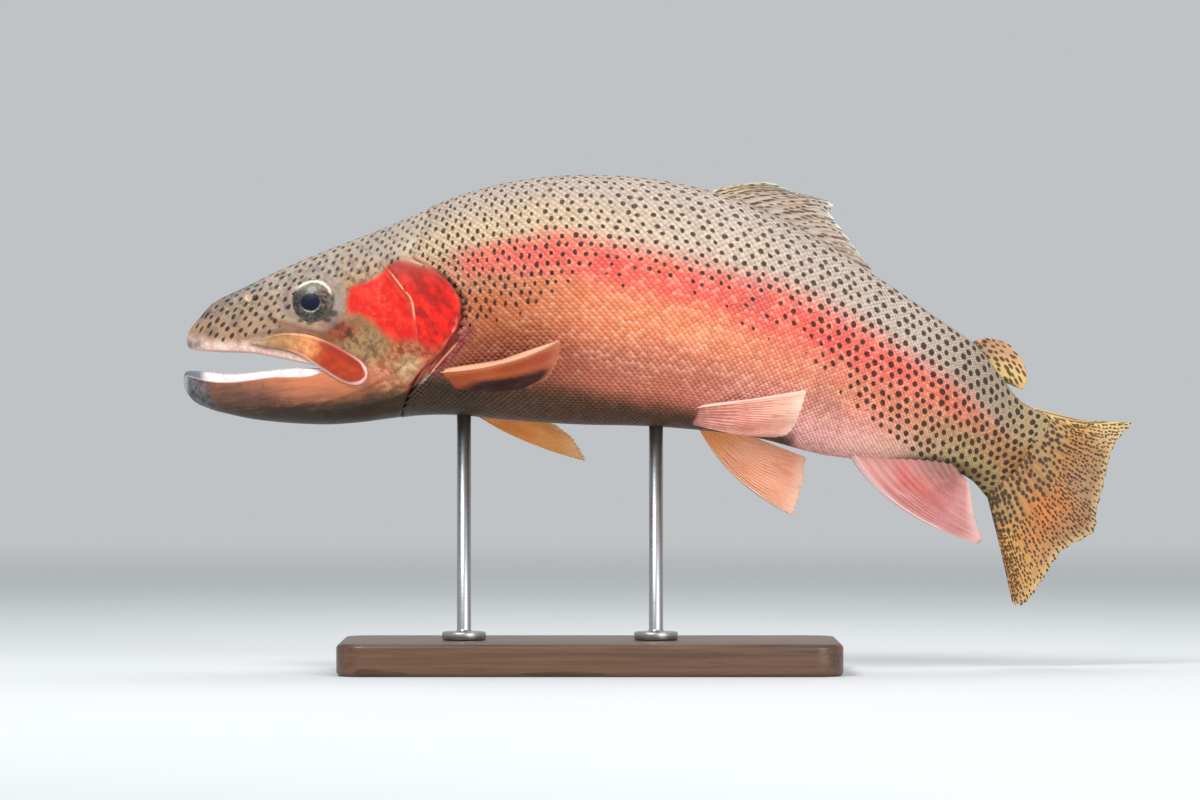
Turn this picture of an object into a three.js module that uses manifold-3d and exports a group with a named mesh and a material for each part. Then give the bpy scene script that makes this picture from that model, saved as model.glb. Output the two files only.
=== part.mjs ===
// A life-size model of a rainbow trout, swimming with its mouth open, on two short rods over a flat base.
// Millimetres, +Z up. The head points to -X, the fish's left side faces -Y, and the base stands on z = 0.
// The body is drawn round an axis that runs from the snout to the tail: s is the distance along it from the
// snout, h the height above it, and y the distance to the fish's right.
import * as THREE from 'three';
import { mergeVertices } from 'three/addons/utils/BufferGeometryUtils.js';
import Module from 'manifold-3d';

const wasm = await Module();
wasm.setup();

// ---- driving dimensions -------------------------------------------------------------------------------
const axisDatum = 136;        // height over the floor that the body's z values are counted from
const snoutX = -226.5;        // where the axis starts
const mouthCorner = 70;       // s of the corners of the mouth
const jawTip = -1.7;          // s of the tip of the lower jaw, a little ahead of the snout
const tailEnd = 437;          // s where the flesh of the tail ends and the fin rays take over
const kerf = 0.35;            // width of the cuts that part the body
const gap = 0.3;              // clearance between neighbouring pieces
const coverThickness = 3;     // gill covers
const eyeRadius = 12;         // across the cheek
const eyeBulge = 6;           // outwards
const eyeDepth = 3.6;         // from the cheek's surface to the middle of the eye
const sweepStart = 200;       // s where the body starts to swing to its right
const sweepTail = 34;         // how far it has swung at the end of the flesh
const finEdge = 0.7;          // thickness of a fin at its free edge
const stand = {
  baseLength: 250, baseWidth: 120, baseThickness: 16, cornerRadius: 14, edgeBevel: 2.5,
  centreX: -25, centreY: 3, rodRadius: 3.5, rodX: [-88, 8], collarRadius: 11, collarHeight: 4,
};

// ---- curves through named stations ----------------------------------------------------------------------
// Each list holds [s, value] pairs. The curve is a smooth cubic through them, and its ends are held.
function curveAt(keys, s) {
  const last = keys.length - 1;
  if (s <= keys[0][0]) return keys[0][1];
  if (s >= keys[last][0]) return keys[last][1];
  let i = 0;
  while (s > keys[i + 1][0]) i++;
  const slope = (a, b) => (keys[b][1] - keys[a][1]) / (keys[b][0] - keys[a][0]);
  const width = keys[i + 1][0] - keys[i][0];
  const m0 = i > 0 ? slope(i - 1, i + 1) : slope(0, 1);
  const m1 = i < last - 1 ? slope(i, i + 2) : slope(last - 1, last);
  const t = (s - keys[i][0]) / width;
  const a = 2 * t ** 3 - 3 * t ** 2 + 1;
  const b = t ** 3 - 2 * t ** 2 + t;
  const c = 3 * t ** 2 - 2 * t ** 3;
  const d = t ** 3 - t ** 2;
  return a * keys[i][1] + b * width * m0 + c * keys[i + 1][1] + d * width * m1;
}

const axisX = [[0, -226.5], [100, -126.5], [150, -76.5], [200, -26.6], [245, 18.3], [290, 62.1],
  [333, 102.3], [362, 128.4], [391, 154], [420, 178.8], [437, 193]];
const axisZ = [[0, 45], [100, 45.3], [150, 47.7], [200, 49.6], [245, 46.1], [290, 35.9],
  [333, 20.8], [362, 8.1], [391, -5.4], [420, -20.4], [437, -30]];
const backLine = [[0, -15], [0.8, -11.5], [2, -9], [6.5, -3.8], [11.5, 2], [16.5, 5.5], [26.5, 10.2],
  [46.5, 20], [66.5, 28.5], [86.5, 36], [116, 46.6], [145, 56.4], [174, 61.2], [210, 62.7], [246, 60.7],
  [275, 56.5], [304, 50.5], [333, 43.6], [362, 39], [388, 35.6], [404, 29.5], [420, 23.8], [437, 25.5]];
const bellyLine = [[-1.7, -37.5], [0, -41.5], [4, -46], [9, -48.5], [16.5, -51], [36.5, -55], [66.5, -57.2],
  [86.5, -56.2], [110, -53.3], [130, -53.8], [160, -58.1], [190, -61.2], [217, -61.3], [260, -58.5],
  [304, -52.9], [333, -49.7], [348, -47], [377, -36.1], [404, -25.8], [420, -22.6], [437, -26]];
const upperLip = [[0, -16.5], [0.8, -18.6], [2, -19.6], [6.5, -20.3], [16.5, -21], [30, -21.4],
  [40, -22.8], [56.5, -26.2], [70, -29.2]];
const lowerLip = [[-1.7, -34.5], [-0.9, -31.6], [1, -30.6], [6.5, -30.7], [16.5, -32], [26.5, -32.2],
  [46.5, -30], [60, -29], [70, -29.2]];
const widestLine = [[70, -29.2], [90, -22], [115, -12], [145, -3], [180, 0], [437, 0]];
const upperWidth = [[0, 1], [0.8, 4], [2, 6], [5, 8.6], [11.5, 11.4], [22, 14.4], [45, 18.6], [70, 22.4],
  [95, 25.8], [120, 28.6], [150, 30.6], [185, 32.4], [220, 32.6], [255, 30.6], [300, 25.6], [340, 19.6],
  [375, 13.6], [400, 9.6], [420, 7], [437, 3.4]];
const lowerWidth = [[-1.7, 1], [-0.9, 3.8], [0.6, 5.8], [4, 8], [10, 10.3], [20, 13], [45, 18], [70, 22.4]];
const roundness = [[0, 2.3], [60, 2.25], [130, 2.1], [437, 2]];   // 2 is an ellipse, more is boxier

const sweepAt = (s) => sweepTail * Math.max(0, (s - sweepStart) / (tailEnd - sweepStart)) ** 3;
const axisPoint = (s) => new THREE.Vector3(curveAt(axisX, s), sweepAt(s), axisDatum + curveAt(axisZ, s));

// The point at distance s along the axis, y to the right and h above it.
function place(s, y, h) {
  const step = 1;
  const at = Math.min(Math.max(s, 0), tailEnd - step);
  const along = axisPoint(at + step).sub(axisPoint(at)).normalize();
  const up = new THREE.Vector3(-along.z, 0, along.x).normalize();
  const right = new THREE.Vector3().crossVectors(up, along);
  return axisPoint(at).addScaledVector(along, s - at).addScaledVector(right, y).addScaledVector(up, h);
}

const power = (v, n) => Math.sign(v) * Math.abs(v) ** (2 / n);
const widestAt = (s) => curveAt(widestLine, s);

// Half the head's width at a point of its side, given by x and by z over the axis datum.
function cheek(x, z) {
  const s = x - snoutX;
  const h = z - curveAt(axisZ, s);
  const n = curveAt(roundness, s);
  const middle = s < mouthCorner ? curveAt(upperLip, s) : widestAt(s);
  const edge = h > middle ? curveAt(backLine, s) : curveAt(bellyLine, s);
  const reach = Math.min(0.999, Math.abs((h - middle) / (edge - middle)));
  return curveAt(upperWidth, s) * (1 - reach ** n) ** (1 / n);
}

// ---- solids -----------------------------------------------------------------------------------------------
// The solid inside a closed surface, whichever way its faces look.
function solidOf(geometry) {
  const bare = new THREE.BufferGeometry().setAttribute('position', geometry.getAttribute('position'));
  if (geometry.index) bare.setIndex(geometry.index);
  const merged = mergeVertices(bare, 1e-4);
  const facing = (triVerts) => new wasm.Manifold(new wasm.Mesh({
    numProp: 3, vertProperties: merged.attributes.position.array, triVerts,
  }));
  const solid = facing(new Uint32Array(merged.index.array));
  return solid.volume() > 0 ? solid : facing(new Uint32Array(merged.index.array).reverse());
}

function geometryOf(solid) {
  const mesh = solid.getMesh();
  const places = new Float32Array(mesh.numVert * 3);
  for (let i = 0; i < mesh.numVert; i++) {
    places.set(mesh.vertProperties.subarray(i * mesh.numProp, i * mesh.numProp + 3), i * 3);
  }
  const geometry = new THREE.BufferGeometry();
  geometry.setAttribute('position', new THREE.BufferAttribute(places, 3));
  geometry.setIndex(new THREE.BufferAttribute(new Uint32Array(mesh.triVerts), 1));
  geometry.computeVertexNormals();
  return geometry;
}

// A closed solid through rings of equal length, with a fan over each end. The rings may turn either way.
function loft(rings) {
  const count = rings[0].length;
  const points = rings.flat();
  const faces = [];
  for (let i = 0; i + 1 < rings.length; i++) {
    for (let j = 0; j < count; j++) {
      const a = i * count + j;
      const b = i * count + (j + 1) % count;
      faces.push(a, b, a + count, b, b + count, a + count);
    }
  }
  for (const [ring, start] of [[rings[0], 0], [rings.at(-1), points.length - count]]) {
    const middle = ring.reduce((sum, p) => sum.add(p), new THREE.Vector3()).divideScalar(count);
    const hub = points.push(middle) - 1;
    for (let j = 0; j < count; j++) {
      const next = (j + 1) % count;
      faces.push(hub, ...(start === 0 ? [next, j] : [start + j, start + next]));
    }
  }
  return solidOf(new THREE.BufferGeometry().setFromPoints(points).setIndex(faces));
}

// Everything inside a side-view outline of [x, z] points, right through the fish or between two y values.
function prism(outline, yLow = -90, yHigh = 90) {
  const shape = new THREE.Shape(outline.map(([x, z]) => new THREE.Vector2(x, z + axisDatum)));
  const geometry = new THREE.ExtrudeGeometry(shape, { depth: yHigh - yLow, bevelEnabled: false });
  return solidOf(geometry.rotateX(Math.PI / 2).translate(0, yHigh, 0));
}

// A smooth line through [x, z] points, as more points.
function smooth(outline, steps) {
  const curve = new THREE.SplineCurve(outline.map(([x, z]) => new THREE.Vector2(x, z)));
  return curve.getPoints(steps).map((p) => [p.x, p.y]);
}

// The outline of a thin saw cut along a line of [x, z] points.
function sawLine(line, width = kerf) {
  const sides = [[], []];
  line.forEach(([x, z], i) => {
    const [x0, z0] = line[Math.max(i - 1, 0)];
    const [x1, z1] = line[Math.min(i + 1, line.length - 1)];
    const length = Math.hypot(x1 - x0, z1 - z0);
    const [nx, nz] = [-(z1 - z0) / length * width / 2, (x1 - x0) / length * width / 2];
    sides[0].push([x + nx, z + nz]);
    sides[1].unshift([x - nx, z - nz]);
  });
  return sides.flat();
}

// ---- the flesh --------------------------------------------------------------------------------------------
const spread = (from, to, count) => Array.from({ length: count }, (_, i) => from + (to - from) * i / (count - 1));

// The body behind the corners of the mouth. A positive skin makes it that much fatter all round.
function bodyBehindMouth(skin = 0, columns = 28) {
  const stations = [mouthCorner, 80, 92, 105, 118, ...spread(132, 388, 15), 398, 408, 418, 428, 437];
  const rings = stations.map((s) => {
    const n = curveAt(roundness, s);
    const middle = widestAt(s);
    const up = curveAt(backLine, s) - middle + skin;
    const down = middle - curveAt(bellyLine, s) + skin;
    const out = curveAt(upperWidth, s) + skin;
    return Array.from({ length: columns }, (_, j) => {
      const a = 2 * Math.PI * j / columns;
      const rise = power(Math.cos(a), n);
      return place(s, out * power(Math.sin(a), n), middle + rise * (rise > 0 ? up : down));
    });
  });
  if (skin) rings.push(rings.at(-1).map((p) => p.clone().addScaledVector(new THREE.Vector3(0.83, 0.4, -0.56), skin)));
  return loft(rings);
}

// Half of the mouth: the snout over its palate, or the lower jaw under its floor.
function jawHalf({ stations, lip, edge, width, vault, overhang }, skin = 0) {
  const outside = 15;
  const inside = 8;
  const rings = stations.map((s) => {
    const n = curveAt(roundness, s);
    const out = curveAt(width, s) + skin;
    const lipHeight = curveAt(lip, s);
    const reach = curveAt(edge, s) - lipHeight;
    const side = Math.sign(reach);
    const ring = spread(-Math.PI / 2, Math.PI / 2, outside).map((a) => place(
      s, side * out * power(Math.sin(a), n), lipHeight - side * skin + (reach + 2 * side * skin) * Math.max(0, power(Math.cos(a), n)),
    ));
    const hollow = Math.min(vault, Math.abs(reach) * 0.45);
    for (const t of spread(1, -1, inside + 2).slice(1, -1)) {
      ring.push(place(s, side * out * t, lipHeight - side * skin + side * hollow * (1 - t ** 2)));
    }
    return ring;
  });
  return loft(rings);
}

const snoutStations = [0, 0.8, 2, 5, 11.5, 20, 30, 40, 50, 60, mouthCorner, mouthCorner + 3];
const snout = { stations: snoutStations, lip: upperLip, edge: backLine, width: upperWidth, vault: 6 };
const lowerJaw = {
  stations: [jawTip, -0.9, 0.6, 4, 10, 20, 30, 40, 50, 60, mouthCorner, mouthCorner + 3],
  lip: lowerLip, edge: bellyLine, width: lowerWidth, vault: 9,
};

const wholeFish = bodyBehindMouth().add(jawHalf(snout)).add(jawHalf(lowerJaw));
const clearFish = bodyBehindMouth(gap).add(jawHalf(snout, gap)).add(jawHalf(lowerJaw, gap));

// Where the flesh is parted, as [x, z] points seen from the side.
const gillLine = smooth([[-104, 104], [-108, 88], [-114, 71], [-103, 65], [-94, 57.5], [-89, 47.5], [-89.5, 39],
  [-94, 30], [-100, 21.5], [-109, 14], [-116, 2], [-122, -14]], 24);
const jawLine = [[-240, 19.5], [-205, 18.6], [-185, 18.2], [-170, 17.8], [-157, 15.6], [-138, 1], [-118, -19]];
const tailLine = [[155, 45], [137, 8], [122, -35]];
const coverFront = smooth([[-114, 71], [-121, 67], [-121.5, 60], [-115.5, 52], [-112, 44], [-115, 36],
  [-121, 28], [-118, 19], [-109, 14]], 14);
const coverOutline = [...coverFront, [-80, 14], [-80, 71]];

// Saws a solid along a line and returns its pieces in the order of one coordinate: x is 0, y is 1, z is 2.
function part(solid, line, axis) {
  const sawn = line ? solid.subtract(prism(sawLine(line))) : solid;
  const middle = (piece) => piece.boundingBox().min[axis] + piece.boundingBox().max[axis];
  return sawn.decompose().filter((piece) => piece.volume() > 20).sort((a, b) => middle(a) - middle(b));
}

const largest = (solid) => solid.decompose().sort((a, b) => b.volume() - a.volume())[0];

const [front, rest] = part(wholeFish, gillLine, 0);
const [trunk, tailStalk] = part(rest, tailLine, 0);
const [jaw, wholeHead] = part(front, jawLine, 2);
const covers = wholeHead.intersect(prism(coverOutline)).subtract(bodyBehindMouth(-coverThickness));
const [leftCover, rightCover] = part(covers.subtract(prism(sawLine(coverFront, 2 * kerf))), null, 1);
const coverSeat = prism(coverOutline).subtract(bodyBehindMouth(-coverThickness - kerf));
const headWithEyes = wholeHead.subtract(coverSeat);

// ---- eyes, jaw bones and tongue ----------------------------------------------------------------------------
const eyeX = -163.5;
const eyeZ = 49.5;
function eye(side, skin = 0) {
  const slope = (dx, dz) => (cheek(eyeX + dx, eyeZ + dz) - cheek(eyeX - dx, eyeZ - dz)) / 12;
  const outwards = new THREE.Vector3(-slope(6, 0), 1, -slope(0, 6)).normalize();
  const ball = new THREE.SphereGeometry(1, 18, 12).scale(eyeRadius + skin, eyeBulge + skin, eyeRadius + skin);
  ball.applyQuaternion(new THREE.Quaternion().setFromUnitVectors(new THREE.Vector3(0, 1, 0), outwards));
  ball.translate(eyeX, cheek(eyeX, eyeZ), eyeZ + axisDatum);
  ball.translate(...outwards.multiplyScalar(-eyeDepth).toArray());
  return solidOf(side > 0 ? ball : ball.scale(1, -1, 1));
}
const head = headWithEyes.subtract(eye(-1, gap)).subtract(eye(1, gap));

// The bone that edges the upper jaw: a leaf-shaped plate that lies on the cheek and ends behind the mouth.
// Each row is x and z of its middle line, and half its width.
const jawBoneRows = [[-193, 28.3, 0.7], [-186, 28.8, 2.6], [-177.5, 29.3, 4], [-168, 27.6, 5.2], [-160, 24.2, 6],
  [-152, 19.4, 6.3], [-145, 15, 6.2], [-140, 12.6, 5.2], [-137, 11.6, 3.2], [-135.8, 11.2, 1]];
const jawBoneThickness = 1.6;
function jawBone(side) {
  const rim = 2;
  const rings = jawBoneRows.map(([x, z, half], i) => {
    const [x0, z0] = jawBoneRows[Math.max(i - 1, 0)];
    const [x1, z1] = jawBoneRows[Math.min(i + 1, jawBoneRows.length - 1)];
    const length = Math.hypot(x1 - x0, z1 - z0);
    const across = [-(z1 - z0) / length, (x1 - x0) / length];
    const row = (lift) => spread(1, -1, 7).map((t) => {
      const px = x + across[0] * half * t;
      const pz = z + across[1] * half * t;
      const out = Math.max(cheek(px, pz), cheek(px, Math.max(pz, 17)) - 1) + gap + lift * (1 - 0.7 * t ** 4);
      return new THREE.Vector3(px, side * out, pz + axisDatum);
    });
    return [...row(jawBoneThickness), ...row(-rim).reverse()];
  });
  return largest(loft(rings).subtract(clearFish));
}

// A low tongue on the floor of the mouth.
function tongue() {
  const rows = [[26, 1, 0.8], [28, 3.4, 1.6], [34, 4.8, 2.4], [46, 5.6, 3], [58, 5.4, 3], [67, 4.6, 2.6]];
  const rings = rows.map(([s, half, thick]) => {
    const floor = curveAt(lowerLip, s) - 8.6;
    return Array.from({ length: 10 }, (_, j) => {
      const a = 2 * Math.PI * j / 10;
      return place(s, half * Math.sin(a), floor + 1 + thick * Math.cos(a));
    });
  });
  return largest(loft(rings).subtract(jawHalf(lowerJaw, gap)));
}

// ---- fins -------------------------------------------------------------------------------------------------
// A fin is a fan of rays. Each ray is [root, bend, tip], a curve that leaves the root towards the bend,
// and each of its points is [x, y, z]. The skin between neighbouring rays is filled in smoothly.
function rayPoint(ray, u) {
  const [root, bend, tip] = ray.map((p) => new THREE.Vector3(p[0], p[1], p[2] + axisDatum));
  return root.multiplyScalar((1 - u) ** 2).addScaledVector(bend, 2 * u * (1 - u)).addScaledVector(tip, u * u);
}

function finPoint(rays, u, v) {
  const keys = rays.map((ray, i) => [i / (rays.length - 1), rayPoint(ray, u)]);
  return new THREE.Vector3(...['x', 'y', 'z'].map((c) => curveAt(keys.map(([at, p]) => [at, p[c]]), v)));
}

function fin({ rays, root, along = 8, across = 11 }) {
  const rim = 0.002;
  const grid = spread(0, 1, across).map((v) => spread(0, 1, along).map((u) => {
    const p = finPoint(rays, u, v);
    const du = finPoint(rays, Math.min(u + rim, 1), v).sub(finPoint(rays, Math.max(u - rim, 0), v));
    const dv = finPoint(rays, u, Math.min(v + rim, 1)).sub(finPoint(rays, u, Math.max(v - rim, 0)));
    const out = new THREE.Vector3().crossVectors(du, dv).normalize();
    const half = (root + (finEdge - root) * Math.max(u, Math.abs(2 * v - 1) ** 6)) / 2;
    return [p.clone().addScaledVector(out, half), p.clone().addScaledVector(out, -half)];
  }));
  const rings = grid.map((row) => [...row.map(([top]) => top), ...row.map(([, under]) => under).reverse()]);
  return largest(loft(rings).subtract(clearFish));
}

// A fin on the fish's middle plane: the rays are given by x and z, and follow the body's sweep.
const axisByX = axisX.map(([s, x]) => [x, s]);
const onMiddle = (rays) => rays.map((ray) => ray.map(([x, z]) => [x, sweepAt(curveAt(axisByX, x)), z]));

const fins = {
  fin_dorsal: {
    root: 3, across: 13,
    rays: onMiddle([[[27, 98], [46, 110], [70, 108.6]], [[34, 97], [60, 110], [80, 103]],
      [[44, 94], [75, 105.5], [96, 99]], [[60, 88], [84, 96], [97, 92]], [[76, 80], [95, 87], [105, 80]],
      [[96, 69], [110, 72], [117.5, 64]]]),
  },
  fin_adipose: {
    root: 4.4, along: 7, across: 9,
    rays: onMiddle([[[165, 26], [172, 35.5], [187, 27.8]], [[168, 22], [180, 28], [193.5, 19.5]],
      [[172, 16], [184, 20], [196, 10.5]], [[176, 9], [185, 12], [193.5, 5]]]),
  },
  fin_anal: {
    root: 3.4,
    rays: onMiddle([[[102, -22], [118, -56], [171, -73]], [[117, -24], [135, -52], [173, -69.5]],
      [[131, -26], [145, -48], [169, -60]], [[145, -28], [152, -44], [167.5, -50]],
      [[157, -30], [160, -38], [165.5, -41.5]]]),
  },
  fin_caudal: {
    root: 3.6, across: 19,
    rays: [[[200, 32, -7], [221, 44, -17.5], [253, 66, -11.5]], [[199, 32, -12], [225, 43, -20], [242.5, 62, -23.5]],
      [[198, 32, -18], [220, 42, -29], [237.5, 58, -39]], [[196.5, 31.5, -25], [216, 41, -40], [233, 54, -55.5]],
      [[193, 31, -31], [211, 40, -50], [231, 51, -67.5]], [[188, 31, -37.5], [203, 40, -60], [215, 50, -77]],
      [[182, 30.5, -42], [193, 40, -70], [206, 50, -90]], [[178, 30, -45], [187, 40, -75], [197, 51, -103]],
      [[175, 29.5, -46.5], [183, 40, -72.5], [190, 52, -105]]],
  },
  fin_pelvic_left: {
    root: 2.4, across: 9,
    rays: [[[24, -14, -3], [50, -29, -1], [82.5, -34, 5]], [[25, -12, -6], [52, -27, -7], [79, -33, -7]],
      [[26, -10, -9], [50, -23, -14], [74.5, -28, -15.5]], [[27, -8, -12], [44, -18, -18], [67, -22, -18.8]]],
  },
  fin_pelvic_right: {
    root: 2.4, across: 9,
    rays: [[[27, 8, -9], [42, 20, -42], [77.5, 27, -58.5]], [[30, 7.5, -9], [48, 18, -38], [81, 25, -47]],
      [[33, 7, -9], [54, 16, -30], [83, 22, -36]], [[36, 6, -9], [60, 13, -21], [83.5, 18, -28.5]]],
  },
  fin_pectoral_left: {
    root: 2.2, across: 9,
    rays: [[[-107, -21, 14], [-80, -42, 22], [-41, -56, 30]], [[-103, -21, 11.5], [-77, -38, 16.5], [-40, -48, 26.5]],
      [[-99, -20, 9], [-76, -33, 11], [-44, -40, 19]], [[-95, -19, 6.5], [-79, -27, 6.5], [-55, -33, 12.5]]],
  },
  fin_pectoral_right: {
    root: 2.2, across: 9,
    rays: [[[-107, 21, 13], [-76, 36, -20], [-26.5, 47, -31]], [[-103.5, 20.5, 11], [-72, 34, -15], [-29, 43.5, -26.5]],
      [[-100, 20, 9], [-69, 31, -9], [-33, 39, -20]], [[-96, 19, 7], [-66, 28, -3.5], [-42, 35, -12.5]]],
  },
};

// ---- stand ------------------------------------------------------------------------------------------------
function standBase() {
  const { baseLength: length, baseWidth: width, baseThickness: thick, cornerRadius: r, edgeBevel } = stand;
  const [hx, hy] = [length / 2 - edgeBevel, width / 2 - edgeBevel];
  const shape = new THREE.Shape();
  shape.moveTo(-hx + r, -hy).lineTo(hx - r, -hy).absarc(hx - r, -hy + r, r, -Math.PI / 2, 0);
  shape.lineTo(hx, hy - r).absarc(hx - r, hy - r, r, 0, Math.PI / 2);
  shape.lineTo(-hx + r, hy).absarc(-hx + r, hy - r, r, Math.PI / 2, Math.PI);
  shape.lineTo(-hx, -hy + r).absarc(-hx + r, -hy + r, r, Math.PI, 1.5 * Math.PI);
  const slab = new THREE.ExtrudeGeometry(shape, {
    depth: thick - 2 * edgeBevel, bevelSize: edgeBevel, bevelThickness: edgeBevel, bevelSegments: 1, curveSegments: 5,
  });
  return solidOf(slab.translate(stand.centreX, stand.centreY, edgeBevel));
}

function standRod(x) {
  const { rodRadius: r, collarRadius, collarHeight, baseThickness } = stand;
  const top = 100;   // into the belly, which trims it
  const profile = [[0, 0], [collarRadius, 0], [collarRadius, collarHeight - 1], [collarRadius - 1, collarHeight],
    [r, collarHeight], [r, top + 12], [0, top + 12]].map(([radius, z]) => new THREE.Vector2(radius, z));
  const rod = new THREE.LatheGeometry(profile, 20).rotateX(Math.PI / 2);
  return solidOf(rod.translate(x, 0, baseThickness + gap)).subtract(clearFish);
}

// ---- the model --------------------------------------------------------------------------------------------
const finish = (color, roughness, metalness = 0) => new THREE.MeshStandardMaterial({ color, roughness, metalness });
const finishes = {
  speckled: finish(0xa89a80, 0.4), flank: finish(0xd07a5c, 0.4), cover: finish(0xc43428, 0.35), orange: finish(0xd8834a, 0.45),
  tail: finish(0xa8763c, 0.45), pink: finish(0xc8766c, 0.45), eye: finish(0x23262a, 0.1), tongue: finish(0xd9b8ad, 0.4),
  wood: finish(0x4a3020, 0.45), steel: finish(0xb8babc, 0.3, 1),
};

const trout = new THREE.Group();
function add(name, solid, material) {
  const mesh = new THREE.Mesh(geometryOf(solid), material.clone());
  mesh.name = name;
  trout.add(mesh);
}

add('head', head, finishes.speckled);
add('jaw_lower', jaw, finishes.orange);
add('gill_cover_left', leftCover, finishes.cover);
add('gill_cover_right', rightCover, finishes.cover);
add('jaw_bone_left', jawBone(-1), finishes.orange);
add('jaw_bone_right', jawBone(1), finishes.orange);
add('eye_left', eye(-1), finishes.eye);
add('eye_right', eye(1), finishes.eye);
add('tongue', tongue(), finishes.tongue);
add('trunk', trunk, finishes.flank);
add('tail_stalk', tailStalk, finishes.tail);
const finFinish = { fin_dorsal: 'speckled', fin_adipose: 'tail', fin_caudal: 'tail', fin_anal: 'pink', fin_pelvic_left: 'pink' };
for (const [name, drawn] of Object.entries(fins)) add(name, fin(drawn), finishes[finFinish[name] ?? 'orange']);
add('stand_base', standBase(), finishes.wood);
stand.rodX.forEach((x, i) => add(`stand_rod_${['front', 'rear'][i]}`, standRod(x), finishes.steel));

// The origin is on the floor, under the middle of the whole model.
const middle = new THREE.Box3().setFromObject(trout).getCenter(new THREE.Vector3());
trout.position.set(-middle.x, -middle.y, 0);

export default trout;
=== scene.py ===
import math
import bpy
import numpy as np
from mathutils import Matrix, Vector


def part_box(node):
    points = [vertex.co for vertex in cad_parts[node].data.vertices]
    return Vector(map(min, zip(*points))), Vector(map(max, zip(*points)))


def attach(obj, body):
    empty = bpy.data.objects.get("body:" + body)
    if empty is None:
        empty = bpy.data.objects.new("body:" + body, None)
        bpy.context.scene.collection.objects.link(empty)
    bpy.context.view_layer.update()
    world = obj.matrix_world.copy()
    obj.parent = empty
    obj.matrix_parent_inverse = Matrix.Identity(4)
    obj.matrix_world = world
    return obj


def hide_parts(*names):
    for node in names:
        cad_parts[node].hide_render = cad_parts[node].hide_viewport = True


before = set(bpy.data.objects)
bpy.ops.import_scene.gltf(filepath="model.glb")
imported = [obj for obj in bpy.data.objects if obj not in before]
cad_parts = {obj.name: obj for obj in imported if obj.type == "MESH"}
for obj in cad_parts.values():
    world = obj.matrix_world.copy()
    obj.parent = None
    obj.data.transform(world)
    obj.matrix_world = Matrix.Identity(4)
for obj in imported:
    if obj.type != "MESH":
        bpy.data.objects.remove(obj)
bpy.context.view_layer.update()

# The fish is drawn in millimetres: s is the distance along its axis from the snout, h the height above the
# axis and y the distance to its right. x and z are seen from the side, with z counted from the axis datum.
mm = 0.001
axisDatum = 136
snoutX = -226.5
mouthCorner = 70
tailEnd = 437
sweepStart = 200
sweepTail = 34
baseLow, baseHigh = (np.array(corner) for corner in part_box("stand_base"))
baseCentre = (-25, 3)
shift = (baseLow + baseHigh) / 2 - np.array([*baseCentre, 0]) * mm
shift[2] = 0

axisX = [(0, -226.5), (100, -126.5), (150, -76.5), (200, -26.6), (245, 18.3), (290, 62.1),
         (333, 102.3), (362, 128.4), (391, 154), (420, 178.8), (437, 193)]
axisZ = [(0, 45), (100, 45.3), (150, 47.7), (200, 49.6), (245, 46.1), (290, 35.9),
         (333, 20.8), (362, 8.1), (391, -5.4), (420, -20.4), (437, -30)]
backLine = [(0, -15), (0.8, -11.5), (2, -9), (6.5, -3.8), (11.5, 2), (16.5, 5.5), (26.5, 10.2),
            (46.5, 20), (66.5, 28.5), (86.5, 36), (116, 46.6), (145, 56.4), (174, 61.2), (210, 62.7),
            (246, 60.7), (275, 56.5), (304, 50.5), (333, 43.6), (362, 39), (388, 35.6), (404, 29.5),
            (420, 23.8), (437, 25.5)]
bellyLine = [(-1.7, -37.5), (0, -41.5), (4, -46), (9, -48.5), (16.5, -51), (36.5, -55), (66.5, -57.2),
             (86.5, -56.2), (110, -53.3), (130, -53.8), (160, -58.1), (190, -61.2), (217, -61.3),
             (260, -58.5), (304, -52.9), (333, -49.7), (348, -47), (377, -36.1), (404, -25.8),
             (420, -22.6), (437, -26)]
upperLip = [(0, -16.5), (0.8, -18.6), (2, -19.6), (6.5, -20.3), (16.5, -21), (30, -21.4),
            (40, -22.8), (56.5, -26.2), (70, -29.2)]
lowerLip = [(-1.7, -34.5), (-0.9, -31.6), (1, -30.6), (6.5, -30.7), (16.5, -32), (26.5, -32.2),
            (46.5, -30), (60, -29), (70, -29.2)]
widestLine = [(70, -29.2), (90, -22), (115, -12), (145, -3), (180, 0), (437, 0)]
upperWidth = [(0, 1), (0.8, 4), (2, 6), (5, 8.6), (11.5, 11.4), (22, 14.4), (45, 18.6), (70, 22.4),
              (95, 25.8), (120, 28.6), (150, 30.6), (185, 32.4), (220, 32.6), (255, 30.6), (300, 25.6),
              (340, 19.6), (375, 13.6), (400, 9.6), (420, 7), (437, 3.4)]
lowerWidth = [(-1.7, 1), (-0.9, 3.8), (0.6, 5.8), (4, 8), (10, 10.3), (20, 13), (45, 18), (70, 22.4)]
roundness = [(0, 2.3), (60, 2.25), (130, 2.1), (437, 2)]


# A smooth cubic through values at rising positions, held at its ends. A value may be a point.
def smoothThrough(at, value, s):
    at, value = np.asarray(at, float), np.asarray(value, float)
    s = np.clip(s, at[0], at[-1])
    i = np.clip(np.searchsorted(at, s, side="right") - 1, 0, len(at) - 2)
    spread = (slice(None),) + (None,) * (value.ndim - 1)
    slope = np.empty(value.shape)
    slope[1:-1] = (value[2:] - value[:-2]) / (at[2:] - at[:-2])[spread]
    slope[0] = (value[1] - value[0]) / (at[1] - at[0])
    slope[-1] = (value[-1] - value[-2]) / (at[-1] - at[-2])
    width = at[i + 1] - at[i]
    t = (s - at[i]) / width
    lift = np.shape(t) + (1,) * (value.ndim - 1)
    t, width = np.reshape(t, lift), np.reshape(width, lift)
    return ((2 * t**3 - 3 * t**2 + 1) * value[i] + (t**3 - 2 * t**2 + t) * width * slope[i]
            + (3 * t**2 - 2 * t**3) * value[i + 1] + (t**3 - t**2) * width * slope[i + 1])


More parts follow.
